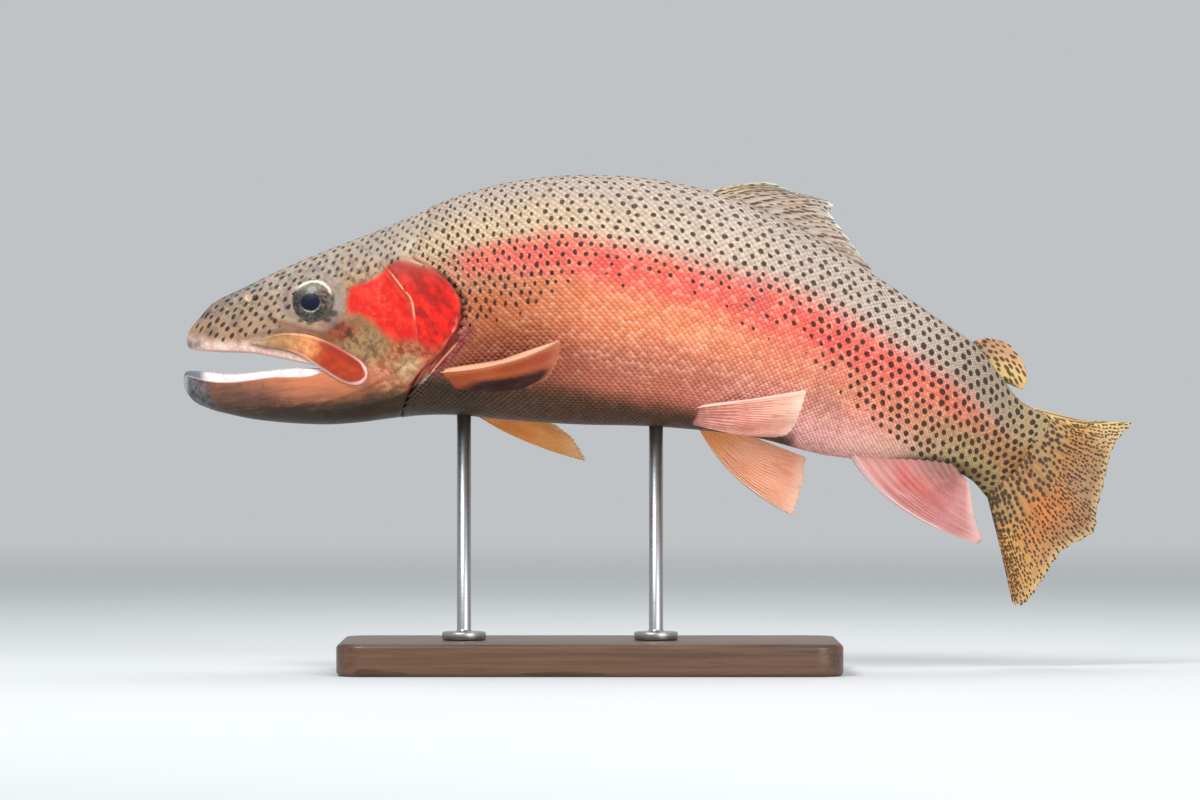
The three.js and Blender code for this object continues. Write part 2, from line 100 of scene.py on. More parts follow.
def curveAt(keys, s):
    return smoothThrough([key[0] for key in keys], [key[1] for key in keys], s)


def unit(v):
    return v / np.maximum(np.linalg.norm(v, axis=-1, keepdims=True), 1e-9)


def power(v, n):
    return np.sign(v) * np.abs(v) ** (2 / n)


# 0 below the first edge, 1 beyond the second, smooth between. The edges may run downwards.
def ease(low, high, v):
    t = np.clip((v - low) / (high - low), 0, 1)
    return t * t * (3 - 2 * t)


def hump(v, middle, width):
    return np.exp(-(((v - middle) / width) ** 2))


def axisPoint(s):
    sweep = sweepTail * np.maximum(0, (s - sweepStart) / (tailEnd - sweepStart)) ** 3
    return np.stack([curveAt(axisX, s), sweep, axisDatum + curveAt(axisZ, s)], -1)


# The point at distance s along the axis, y to the right and h above it.
def place(s, y, h):
    s, y, h = np.broadcast_arrays(*(np.asarray(v, float) for v in (s, y, h)))
    at = np.clip(s, 0, tailEnd - 1)
    along = unit(axisPoint(at + 1) - axisPoint(at))
    up = unit(np.stack([-along[..., 2], 0 * at, along[..., 0]], -1))
    right = np.cross(up, along)
    return axisPoint(at) + along * (s - at)[..., None] + right * y[..., None] + up * h[..., None]


# The skin's point at angle a round the section at s: 0 is the back, and +-pi is the belly.
def roundBody(s, a):
    n = curveAt(roundness, s)
    middle = curveAt(widestLine, s)
    rise = power(np.cos(a), n)
    reach = np.where(rise > 0, curveAt(backLine, s) - middle, middle - curveAt(bellyLine, s))
    return curveAt(upperWidth, s) * power(np.sin(a), n), middle + rise * reach


# Half the head's width at a place seen from the side
def cheek(x, z):
    s = x - snoutX
    h = z - curveAt(axisZ, s)
    n = curveAt(roundness, s)
    middle = np.where(s < mouthCorner, curveAt(upperLip, s), curveAt(widestLine, s))
    edge = np.where(h > middle, curveAt(backLine, s), curveAt(bellyLine, s))
    reach = np.minimum(0.999, np.abs((h - middle) / (edge - middle)))
    return curveAt(upperWidth, s) * (1 - reach**n) ** (1 / n)


def toModel(points):
    return np.asarray(points) * mm + shift


def addAttributes(mesh, attributes):
    for key, values in attributes.items():
        kind, field = ("FLOAT_VECTOR", "vector") if values.ndim == 2 else ("FLOAT", "value")
        mesh.attributes.new(key, kind, "POINT").data.foreach_set(field, values.astype(float).ravel())


def show(name, points, faces, finish, attributes=None):
    mesh = bpy.data.meshes.new(name)
    mesh.from_pydata(toModel(points).tolist(), [], [tuple(int(i) for i in f) for f in faces])
    addAttributes(mesh, attributes or {})
    mesh.validate()
    mesh.polygons.foreach_set("use_smooth", [True] * len(mesh.polygons))
    mesh.materials.append(finish)
    piece = bpy.data.objects.new(name, mesh)
    bpy.context.scene.collection.objects.link(piece)
    return piece


# The quads between the rows of a grid of point numbers, whose last column joins its first
def quads(grid):
    far = np.roll(grid, -1, axis=1)
    return np.stack([grid[:-1], grid[1:], far[1:], far[:-1]], -1).reshape(-1, 4).tolist()


# The triangles between a ring of point numbers and a hub
def fan(ring, hub, atStart):
    far = np.roll(ring, -1)
    return [(hub, a, b) if atStart else (hub, b, a) for a, b in zip(ring, far)]


# A closed solid through equal rings of points, given as an array [ring, point, 3].
def loft(rings):
    count = rings.shape[1]
    grid = np.arange(len(rings) * count).reshape(-1, count)
    points = np.concatenate([rings.reshape(-1, 3), rings[:1].mean(1), rings[-1:].mean(1)])
    hub = grid.size
    faces = quads(grid) + fan(grid[0], hub, True) + fan(grid[-1], hub + 1, False)
    return points, facedOut(points, faces)


# The same faces, turned round if they look into the solid
def facedOut(points, faces):
    volume = sum(np.dot(points[f[0]], np.cross(points[f[1]], points[f[2]])) for f in faces if len(f) == 3)
    quad = np.array([f for f in faces if len(f) == 4])
    p = points[quad]
    volume += (np.einsum("ij,ij->i", p[:, 0], np.cross(p[:, 1], p[:, 2]))
               + np.einsum("ij,ij->i", p[:, 0], np.cross(p[:, 2], p[:, 3]))).sum()
    return faces if volume > 0 else [tuple(reversed(f)) for f in faces]


def arithmetic(operation, swapped=False):
    def work(self, other):
        return self.tree.sum(operation, *((other, self) if swapped else (self, other)))
    return work


# A node's output, which can be used in sums. It works in shader and geometry trees alike.
class Wire:
    def __init__(self, tree, socket):
        self.tree = tree
        self.socket = socket

    def sum(self, operation, *others):
        return self.tree.sum(operation, self, *others)

    __add__ = __radd__ = arithmetic("ADD")
    __mul__ = __rmul__ = arithmetic("MULTIPLY")
    __sub__ = arithmetic("SUBTRACT")
    __rsub__ = arithmetic("SUBTRACT", swapped=True)
    __truediv__ = arithmetic("DIVIDE")
    __pow__ = arithmetic("POWER")
    __gt__ = arithmetic("GREATER_THAN")
    __lt__ = arithmetic("LESS_THAN")

    # 0 below the first edge, 1 beyond the second, smooth between. The edges may run downwards.
    def ease(self, low, high):
        down = low > high
        made = self.tree.add("ShaderNodeMapRange", {"interpolation_type": "SMOOTHSTEP"}, {
            "Value": self, "From Min": min(low, high), "From Max": max(low, high),
            "To Min": 1.0 if down else 0.0, "To Max": 0.0 if down else 1.0})
        return made.out("Result")

    # 1 at the middle, falling smoothly to 0 at a width away on each side
    def hump(self, middle, width):
        return (self - middle).sum("ABSOLUTE").ease(width, 0)


class Made:
    def __init__(self, tree, node):
        self.tree = tree
        self.node = node

    def out(self, name=0):
        return Wire(self.tree, self.node.outputs[name])


class Tree:
    def __init__(self, tree):
        self.nodes = tree.nodes
        self.links = tree.links

    def add(self, kind, settings=None, inputs=None):
        made = self.nodes.new(kind)
        for name, value in (settings or {}).items():
            setattr(made, name, value)
        for name, value in (inputs or {}).items():
            self.feed(made.inputs[name], value)
        return Made(self, made)

    def feed(self, socket, value):
        if isinstance(value, Wire):
            self.links.new(value.socket, socket)
        else:
            socket.default_value = value

    def sum(self, operation, *values):
        made = self.add("ShaderNodeMath", {"operation": operation})
        for socket, value in zip(made.node.inputs, values):
            self.feed(socket, value)
        return made.out()

    def vector(self, x=0.0, y=0.0, z=0.0):
        return self.add("ShaderNodeCombineXYZ", None, {"X": x, "Y": y, "Z": z}).out()

    def parts(self, vector):
        made = self.add("ShaderNodeSeparateXYZ", None, {"Vector": vector})
        return made.out("X"), made.out("Y"), made.out("Z")

    def noise(self, where, size, detail=2.0, rough=0.5):
        return self.add("ShaderNodeTexNoise", None, {
            "Vector": where, "Scale": 1 / size, "Detail": detail, "Roughness": rough}).out("Fac")

    # From one colour to another by a factor of 0 to 1. A plain colour is written as its 0-255 screen values.
    def mix(self, factor, first, second):
        made = self.add("ShaderNodeMix", {"data_type": "RGBA"})
        for i, value in ((0, factor), (6, first), (7, second)):
            self.feed(made.node.inputs[i], tone(*value) if isinstance(value, tuple) else value)
        return made.out(2)

    # A colour that follows a value of 0 to 1 through [position, screen values] stops
    def ramp(self, value, stops):
        made = self.add("ShaderNodeValToRGB", None, {"Fac": value})
        band = made.node.color_ramp
        band.interpolation = "EASE"
        for _ in stops[2:]:
            band.elements.new(0.5)
        for element, (at, colour) in zip(band.elements, stops):
            element.position = at
            element.color = tone(*colour)
        return made.out("Color")

    # A number that follows a value through [position, number] stops
    def curve(self, value, stops):
        first, last = stops[0][0], stops[-1][0]
        low, high = min(number for _, number in stops), max(number for _, number in stops)
        made = self.add("ShaderNodeFloatCurve", None, {"Value": (value - first) / (last - first)})
        line = made.node.mapping.curves[0]
        for at, _ in stops[1:-1]:
            line.points.new((at - first) / (last - first), 0.5)
        for point, (at, number) in zip(sorted(line.points, key=lambda p: p.location[0]), stops):
            point.location = ((at - first) / (last - first), (number - low) / (high - low))
        made.node.mapping.update()
        return made.out() * (high - low) + low

    # The place on the piece, in metres
    def here(self):
        return self.add("ShaderNodeTexCoord").out("Object")

    def attribute(self, name, output="Vector"):
        return self.add("ShaderNodeAttribute", {"attribute_name": name}).out(output)

    # A vector of the roots or the mesh, in a geometry tree
    def rooted(self, name):
        found = self.add("GeometryNodeInputNamedAttribute", {"data_type": "FLOAT_VECTOR"}, {"Name": name})
        return found.out("Attribute")


# A colour from its 0-255 screen values
def tone(*values):
    light = [v / 255 / 12.92 if v < 10.3 else ((v / 255 + 0.055) / 1.055) ** 2.4 for v in values]
    return (*light, 1.0)


# An empty Geometry Nodes tree with a named input for each size: the group, its tree and its inputs
def newGrowth(name, sizes):
    group = bpy.data.node_groups.new(name, "GeometryNodeTree")
    group.interface.new_socket("Geometry", in_out="INPUT", socket_type="NodeSocketGeometry")
    for key, value in sizes.items():
        kind = "NodeSocketInt" if isinstance(value, int) else "NodeSocketFloat"
        group.interface.new_socket(key, in_out="INPUT", socket_type=kind).default_value = value
    group.interface.new_socket("Geometry", in_out="OUTPUT", socket_type="NodeSocketGeometry")
    tree = Tree(group)
    return group, tree, tree.add("NodeGroupInput")


# A number for each root between the tree's Smallest and Largest
def varied(tree, given):
    vary = tree.add("FunctionNodeRandomValue", {"data_type": "FLOAT"})
    for socket, name in ((2, "Smallest"), (3, "Largest"), (8, "Seed")):
        tree.feed(vary.node.inputs[socket], given.out(name))
    return vary.out(1)


# One shape on each root, as mesh
def instances(tree, given, shape, turn, size):
    laid = tree.add("GeometryNodeInstanceOnPoints", None, {
        "Points": given.out("Geometry"), "Instance": shape, "Rotation": turn, "Scale": size})
    return tree.add("GeometryNodeRealizeInstances", None, {"Geometry": laid.out()}).out()


# The end of the tree: what it grew, in its material
def finished(group, tree, whole, finish):
    whole = tree.add("GeometryNodeSetMaterial", None, {"Geometry": whole, "Material": finish}).out()
    tree.add("NodeGroupOutput", None, {"Geometry": whole})
    return group


# Grows what a tree sets on root points, and gives it as a plain piece. Attributes are values of the roots.
def grow(name, roots, attributes, group, sizes):
    mesh = bpy.data.meshes.new(name + "_roots")
    mesh.from_pydata(toModel(roots).tolist(), [], [])
    addAttributes(mesh, attributes)
    carrier = bpy.data.objects.new(name + "_roots", mesh)
    bpy.context.scene.collection.objects.link(carrier)
    growth = carrier.modifiers.new("growth", "NODES")
    growth.node_group = group
    for socket in group.interface.items_tree:
        if socket.name in sizes:
            growth[socket.identifier] = sizes[socket.name]
    made = bpy.data.meshes.new_from_object(carrier.evaluated_get(bpy.context.evaluated_depsgraph_get()))
    bpy.data.objects.remove(carrier)
    made.name = name
    piece = bpy.data.objects.new(name, made)
    bpy.context.scene.collection.objects.link(piece)
    return piece


def material(name, paint, **constants):
    made = bpy.data.materials.new(name)
    made.use_nodes = True
    made.node_tree.nodes.clear()
    tree = Tree(made.node_tree)
    surface = tree.add("ShaderNodeBsdfPrincipled")
    tree.add("ShaderNodeOutputMaterial", None, {"Surface": surface.out("BSDF")})
    for key, value in constants.items():
        surface.node.inputs[key.replace("_", " ").title().replace("Ior", "IOR")].default_value = value
    for key, value in paint(tree).items():
        if key == "Bump":
            height, strength, distance = value
            value = tree.add("ShaderNodeBump", None, {
                "Height": height, "Strength": strength, "Distance": distance * mm}).out("Normal")
            key = "Normal"
        tree.feed(surface.node.inputs[key], value)
    return made


viewCentre = (-20, axisDatum)      # x and height
viewDistance = 3000
viewWidth = 600                    # at the fish
lampSpread = math.radians(150)
roomLight = {"Color": (0.93, 0.97, 1.0, 1), "Strength": 0.56}


def setCamera():
    camera = bpy.data.objects.new("camera", bpy.data.cameras.new("camera"))
    camera.location = toModel((viewCentre[0], -viewDistance, viewCentre[1]))
    camera.rotation_euler = (math.pi / 2, 0, 0)
    camera.data.lens = camera.data.sensor_width * viewDistance / viewWidth
    bpy.context.scene.collection.objects.link(camera)
    bpy.context.scene.camera = camera


def setLights():
    scene = bpy.context.scene
    scene.view_settings.view_transform = "Standard"
    world = bpy.data.worlds.new("studio")
    world.use_nodes = True
    for key, value in roomLight.items():
        world.node_tree.nodes["Background"].inputs[key].default_value = value
    scene.world = world
    lamps = {                      # place and aim in mm, size in mm, watts
        "key": ((-640, -860, 1350), (0, 0, 160), 560, 10.3),
        "top": ((80, 350, 1100), (0, 0, 180), 900, 3.6),
        "side": ((900, -1350, 700), (60, 0, 120), 1100, 11),
    }
    for name, (where, aim, size, watts) in lamps.items():
        light = bpy.data.lights.new(name, "AREA")
        light.shape = "DISK"
        light.size = size * mm
        light.energy = watts
        light.spread = lampSpread
        lamp = bpy.data.objects.new(name, light)
        lamp.location = toModel(where)
        away = toModel(where) - toModel(aim)
        lamp.rotation_euler = (math.atan2(math.hypot(away[0], away[1]), away[2]), 0,
                               math.atan2(away[0], -away[1]))
        scene.collection.objects.link(lamp)


floorDisk = {"radius": 3200, "fadeFrom": 1.1, "fadeTo": 2.9, "rings": 8, "sides": 72}    # fades in metres


# The floor thins out far from the stand, so that no edge shows against the room.
def paintFloor(tree):
    where = tree.here()
    x, y, _ = tree.parts(where)
    away = (x * x + y * y) ** 0.5
    cloud = tree.noise(where, 0.4)
    return {"Base Color": tree.mix(cloud, (206, 209, 211), (212, 215, 217)),
            "Alpha": away.ease(floorDisk["fadeTo"], floorDisk["fadeFrom"])}


def buildFloor():
    turn = np.arange(floorDisk["sides"]) * 2 * math.pi / floorDisk["sides"]
    reach = np.linspace(0, floorDisk["radius"], floorDisk["rings"] + 1)[1:]
    rings = np.array([np.stack([r * np.cos(turn), r * np.sin(turn), 0 * turn], -1) for r in reach])
    grid = np.arange(rings.shape[0] * rings.shape[1]).reshape(rings.shape[:2]) + 1
    points = np.concatenate([[[0, 0, 0]], rings.reshape(-1, 3)])
    faces = fan(grid[0], 0, True) + quads(grid)
    floor = show("floor", points, faces, material("floor_paper", paintFloor, roughness=0.9))


setCamera()
setLights()
buildFloor()
print("camera, lights and floor are set")

skin = {
    "columns": 224, "mouthColumns": 29, "headRow": 0.75, "bodyRow": 2.2, "headEnd": 146,
    "underScales": 0.35,           # how far the skin lies inside the scales' outer surface
    "lipRadius": 1.3, "palate": 6.5, "mouthFloor": -7,
    "fullInset": 14,               # half the jaw's width where the lining and teeth lie fully in from the lip
    "gillRow": 125, "gillReach": 50, "bendRounds": 12,
    "tailFrom": 430, "tailRow": 1.4,
    "tipRings": 6, "tipLength": 5, "tipWay": (0.76, 0.36, -0.53),
    "pouchDepths": (4, 10, 18, 26, 33, 36.0), "pouchWidths": (0.93, 0.8, 0.62, 0.42, 0.2, 0.06),
    "pouchLay": (80, 0, -0.5),     # the place on the skin that the throat takes its colour from
}
gillEdge = [(-14, -122), (2, -116), (14, -109), (21.5, -100), (30, -94), (39, -89.5), (47.5, -89),
            (57.5, -94), (65, -103), (71, -114), (88, -108), (104, -104)]      # z, x
gumHeight = [(-1.7, 1.5), (3, 3.4), (10, 4.6), (30, 4), (44, 3.8), (52, 4.4), (62, 4.6), (70, 1.5)]
gillRay = [(-150, -5), (-131, -1), (-117.5, 4), (-107, 10), (-99.5, 18.5), (-92.5, 26)]      # x, z
eyePlace = (-162.7, 49.4)


# How far a place lies behind the edge of the gill cover, in mm
def toGillEdge(x, z):
    return x - curveAt(gillEdge, z)


# Rows near the gill opening are bent to run along its edge.
def bentRows(s, a):
    grid = np.broadcast_to(s[:, None], (len(s), len(a))).copy()
    edge = np.full(len(a), float(skin["gillRow"]))
    for _ in range(skin["bendRounds"]):
        y, h = roundBody(edge, a)
        edge = 0.5 * edge + 0.5 * (curveAt(gillEdge, place(edge, y, h)[:, 2] - axisDatum) - snoutX)
    near = np.clip(1 - np.abs(grid - skin["gillRow"]) / skin["gillReach"], 0, 1)
    return grid + (edge - skin["gillRow"])[None, :] * near * near * (3 - 2 * near)


# How far in from the lip and how high the lining runs. keys: share of the way, distance in, height.
def liningOf(width, keys, t):
    full = min(1, width / skin["fullInset"])
    inset = curveAt([(k[0], min(k[1] * full, width)) for k in keys[:-1]] + [(1, width)], t)
    return inset, curveAt([(k[0], k[2]) for k in keys], t)


# From the middle of one lip to the other, across the roof or the floor of the mouth
def mouthRing(s, width, lip, keys, side):
    half = skin["mouthColumns"] // 2
    t = np.linspace(0, 1, half + 2)[1:]
    inset, height = liningOf(width, keys, t)
    y = np.concatenate([width - inset, -(width - inset[:-1])[::-1]])
    h = lip + np.concatenate([height, height[:-1][::-1]])
    return place(s, side * y, h)


def upperRing(s, a):
    radius = skin["lipRadius"] * min(1, (mouthCorner - s) / 10, 0.2 + s / 5)
    lip = curveAt(upperLip, s) + radius
    width = curveAt(upperWidth, s)
    reach = curveAt(backLine, s) - lip
    n = curveAt(roundness, s)
    outside = place(s, width * power(np.sin(a), n), lip + reach * np.maximum(0, power(np.cos(a), n)))
    roof = min(skin["palate"], 0.45 * reach)
    keys = [(0, 0, 0), (0.08, 0.35, -0.75 * radius), (0.16, 1.1, -radius), (0.26, 2, -0.8 * radius),
            (0.36, 2.8, -0.1), (0.5, 4.2, 0.3 * roof), (0.7, 9, 0.75 * roof), (1, 0, roof)]
    return outside, mouthRing(s, width, lip, keys, 1)


def lowerRing(s, a):
    gum = curveAt(gumHeight, s)
    lip = curveAt(lowerLip, s) - gum
    width = curveAt(lowerWidth, s)
    reach = curveAt(bellyLine, s) - lip
    n = curveAt(roundness, s)
    outside = place(s, width * power(np.sin(a), n), lip + reach * np.maximum(0, -power(np.cos(a), n)))
    floor = max(skin["mouthFloor"], 0.5 * reach)
    roll = min(1, gum / 3)
    keys = [(0, 0, 0), (0.06, 0.3, 0.5 * roll), (0.12, 0.9, 0.6 * roll), (0.18, 1.3, 0.3 * roll),
            (0.24, 1.5, 0.5 * roll), (0.32, 1.9, 0.7 * gum), (0.4, 2.6, gum), (0.48, 3.4, 0.92 * gum),
            (0.56, 4.1, 0.4 * gum), (0.66, 5, 0.4 * floor), (0.8, 9, 0.85 * floor), (1, 0, floor)]
    return outside, mouthRing(s, width, lip, keys, -1)


# The distance to a line drawn on the head, positive on its left
def besideLine(x, z, line):
    points = np.stack([x, z], -1)
    best = np.full(len(x), 1e9)
    sign = np.zeros(len(x))
    for (x0, z0), (x1, z1) in zip(line, line[1:]):
        a, b = np.array([x0, z0]), np.array([x1, z1])
        t = np.clip(((points - a) @ (b - a)) / ((b - a) @ (b - a)), 0, 1)
        off = points - (a + t[:, None] * (b - a))
        distance = np.linalg.norm(off, axis=1)
        side = np.sign((b - a)[0] * off[:, 1] - (b - a)[1] * off[:, 0])
        sign = np.where(distance < best, side, sign)
        best = np.minimum(best, distance)
    return best * sign


headLines = {                      # x, z
    "aboveBone": [(-197, 30), (-188, 32.3), (-178, 33.4), (-166, 33), (-158, 30.6), (-150, 26), (-143, 21.6),
                  (-136.5, 17)],
    "coverPlate": [(-126, 66), (-122, 60.5), (-117, 54), (-113, 48), (-112, 42), (-111, 32.5), (-112, 24),
                   (-117, 17), (-126, 10), (-140, 3), (-158, -3)],
    "jawHinge": [(-137, 8), (-130, 11), (-120, 10), (-110, 12)],
}
nostrils = [((-195.3, 51), 1.2), ((-191.6, 50.8), 1.5)]      # x and z, radius


# The forms of the head that stand out of or sink into its rounded block, in mm along the normal
def headRelief(x, z, sideways):
    lift = np.zeros(len(x))
    r = np.hypot(x - eyePlace[0], z - eyePlace[1])
    lift += sideways * (0.35 * hump(r, 12, 1.6) - 1.7 * ease(11.2, 9.1, r) - 0.2 * hump(r, 16, 3))
    lift += sideways * 0.4 * hump(r, 12.4, 1.8) * ease(eyePlace[1] - 2, eyePlace[1] + 7, z)
    for (atX, atZ), radius in nostrils:
        off = np.hypot(x - atX, z - atZ)
        lift += sideways * (0.5 * hump(off, radius + 0.7, 0.7) - 1.3 * ease(radius, 0.2, off))
    aboveBone = besideLine(x, z, headLines["aboveBone"])
    lift -= sideways * 0.9 * hump(aboveBone, 0, 1)
    lift += sideways * 0.5 * hump(aboveBone, 2.2, 1.6)
    cover = besideLine(x, z, headLines["coverPlate"])
    lift -= sideways * 0.65 * hump(cover, 0, 0.9)
    lift += sideways * 0.45 * hump(cover, -2, 1.6)
    lift += sideways * 0.9 * hump(np.hypot(x + 136, (z - 34) * 0.8), 0, 15)
    ray = besideLine(x, z, gillRay)
    lift += sideways * 0.5 * hump(ray, 0, 1)
    jaw = besideLine(x, z, headLines["jawHinge"])
    lift -= sideways * 0.35 * hump(jaw, 0, 1.3)
    behind = toGillEdge(x, z)
    step = 1.3 * ease(-18, -2, behind) - 1.9 * ease(-0.4, 0.8, behind) + 0.6 * ease(0.8, 9, behind)
    return lift + alongOpening(z) * step


# 1 along the gill opening and 0 above and below it
def alongOpening(z):
    return ease(74, 66, z) * ease(-12, 0, z)


# How the body sinks in behind the gill cover, in mm
def behindGill(x, z):
    behind = toGillEdge(x, z)
    return alongOpening(z) * 0.6 * (ease(0.8, 9, behind) - 1) * ease(0, 0.8, behind)


# How far each point of a ring lies from the middle of the back, round the body
def fromBack(points):
    top = points.shape[1] // 2
    step = np.linalg.norm(np.diff(points, axis=1, append=points[:, :1]), axis=2)
    girth = np.concatenate([np.zeros((len(points), 1)), np.cumsum(step[:, :-1], axis=1)], 1)
    return girth - girth[:, top:top + 1]


def buildSkin(skinMaterial):
    columns = skin["columns"]
    quarter = columns // 4
    a = -math.pi + 2 * math.pi * np.arange(columns) / columns
    rows = np.concatenate([np.arange(mouthCorner, skin["headEnd"], skin["headRow"]),
                           np.arange(skin["headEnd"], skin["tailFrom"], skin["bodyRow"]),
                           np.arange(skin["tailFrom"], tailEnd + 0.1, skin["tailRow"])])
    s = bentRows(rows, a)
    y, h = roundBody(s, a[None, :])
    body = place(s, y, h)
    height = np.where(h > 0, h / curveAt(backLine, s), -h / curveAt(bellyLine, s))
    bodyLay = np.stack([s, fromBack(body), height], -1)
    tip = np.linspace(0, 1, skin["tipRings"] + 1)[1:] * 0.97
    shrink = np.sqrt(1 - tip**2)
    tipRings = body[-1].mean(0) + (body[-1] - body[-1].mean(0)) * shrink[:, None, None]
    tipRings += np.array(skin["tipWay"]) * (tip * skin["tipLength"])[:, None, None]
    body = np.concatenate([body, tipRings])
    bodyLay = np.concatenate([bodyLay, np.repeat(bodyLay[-1:], len(tip), 0)])

    upperAngles = a[quarter:3 * quarter + 1]
    lowerColumns = np.concatenate([np.arange(3 * quarter, columns), np.arange(quarter + 1)])
    lowerAngles = a[lowerColumns]
    lastRow = mouthCorner - 0.3
    upperRows = np.concatenate([[0, 0.15, 0.4, 0.8, 1.3, 1.9, 2.6], np.arange(3.4, lastRow, skin["headRow"])])
    lowerRows = np.concatenate([[-1.7, -1.55, -1.3, -0.9, -0.4, 0.2, 0.9, 1.6, 2.4],
                                np.arange(3.2, lastRow, skin["headRow"])])
    upper = [upperRing(row, upperAngles) for row in upperRows]
    lower = [lowerRing(row, lowerAngles) for row in lowerRows]

    points, lays, inside = [], [], []
    count = 0

    def take(block, lay, tissue):
        nonlocal count
        block = block.reshape(-1, 3)
        numbers = np.arange(count, count + len(block))
        count += len(block)
        points.append(block)
        lays.append(np.asarray(lay).reshape(-1, 3))
        inside.append(np.broadcast_to(tissue, (len(block),)))
        return numbers

    bodyGrid = take(body, bodyLay, 0).reshape(len(body), columns)
    faces = quads(bodyGrid)
    tailHub = take(body[-1:].mean(1), bodyLay[-1, :1], 0)[0]
    faces += fan(bodyGrid[-1], tailHub, False)

    # The roof of the mouth is marked from 1, at the lip, and its floor from 2.
    corners = []
    for rings, rowsOf, angles, columnsOf, mark in (
            (upper, upperRows, upperAngles, np.arange(quarter, 3 * quarter + 1), 1),
            (lower, lowerRows, lowerAngles, lowerColumns, 2)):
        outside = np.stack([ring[0] for ring in rings])
        lining = np.stack([ring[1] for ring in rings])
        z = outside[..., 2] - axisDatum - curveAt(axisZ, rowsOf)[:, None]
        tall = np.where(z > 0, np.maximum(curveAt(backLine, rowsOf), 8)[:, None],
                        -curveAt(bellyLine, rowsOf)[:, None])
        middle = outside.shape[1] // 2
        step = np.linalg.norm(np.diff(outside, axis=1), axis=2)
        girth = np.concatenate([np.zeros((len(outside), 1)), np.cumsum(step, axis=1)], 1)
        girth = girth - girth[:, middle:middle + 1]
        if mark == 2:
            girth = girth + np.where(np.arange(outside.shape[1]) < middle, 100, -100)[None, :]
        lay = np.stack([np.broadcast_to(rowsOf[:, None], z.shape), girth, z / tall], -1)
        outsideIds = take(outside, lay, 0).reshape(outside.shape[:2])
        around = np.minimum(np.arange(lining.shape[1]) + 1, lining.shape[1] - np.arange(lining.shape[1]))
        depth = np.broadcast_to(mark + around / (lining.shape[1] + 1), lining.shape[:2])
        flat = np.stack([np.broadcast_to(rowsOf[:, None], lining.shape[:2]), lining[..., 1],
                         0 * lining[..., 1] - 0.5], -1)
        liningIds = take(lining, flat, depth.ravel()).reshape(lining.shape[:2])
        endSeam = bodyGrid[0, columnsOf]
        cornerRing = (upperRing if mark == 1 else lowerRing)(mouthCorner - 0.001, angles)[1]
        cornerIds = take(cornerRing, flat[-1], depth[-1])
        corners.append((cornerIds, cornerRing))
        grid = np.concatenate([np.concatenate([outsideIds, liningIds], 1),
                               np.concatenate([endSeam, cornerIds])[None, :]])
        faces += quads(grid)
        ring = np.concatenate([outside[0], lining[0]])
        hub = take(ring.mean(0)[None, :], lay[0, middle][None, :], 0)[0]
        faces += fan(grid[0], hub, True)

    seamRight, seamLeft = bodyGrid[0, 3 * quarter], bodyGrid[0, quarter]
    ringIds = np.concatenate([[seamRight], corners[0][0], [seamLeft], corners[1][0]])
    ringPoints = np.concatenate([body[0, 3 * quarter][None], corners[0][1], body[0, quarter][None],
                                 corners[1][1]])
    middle = ringPoints.mean(0)
    pouch = middle + (ringPoints - middle)[None] * np.array(skin["pouchWidths"])[:, None, None]
    pouch[..., 0] += np.array(skin["pouchDepths"])[:, None]
    pouchLay = np.tile(skin["pouchLay"], (pouch.shape[0] * pouch.shape[1], 1))
    pouchIds = take(pouch, pouchLay, 1.5).reshape(pouch.shape[:2])
    grid = np.concatenate([ringIds[None, :], pouchIds])
    faces += quads(grid)
    hub = take(pouch[-1:].mean(1), skin["pouchLay"], 1.5)[0]
    faces += fan(grid[-1], hub, False)

    points, lays, inside = np.concatenate(points), np.concatenate(lays), np.concatenate(inside)
    faces = facedOut(points, faces)
    piece = show("skin", points, faces, skinMaterial)
    normals = np.empty(len(points) * 3)
    piece.data.vertex_normals.foreach_get("vector", normals)
    normals = normals.reshape(-1, 3)
    x, z = points[:, 0], points[:, 2] - axisDatum
    sideways = ease(0.25, 0.7, np.abs(normals[:, 1]))
    onHead = ease(150, 140, lays[:, 0])
    lift = onHead * headRelief(x, z, sideways) * (inside < 0.5)
    behind = np.where(lays[:, 0] > 100, toGillEdge(x, z), -1)
    lift -= skin["underScales"] * ease(0, 1, behind / (2 + 10 * ease(58, 72, z))) * (inside < 0.5)
    moved = points + normals * lift[:, None]
    piece.data.vertices.foreach_set("co", toModel(moved).ravel())
    addAttributes(piece.data, {"lay": lays, "mouth": inside})
    piece.data.update()
    return piece


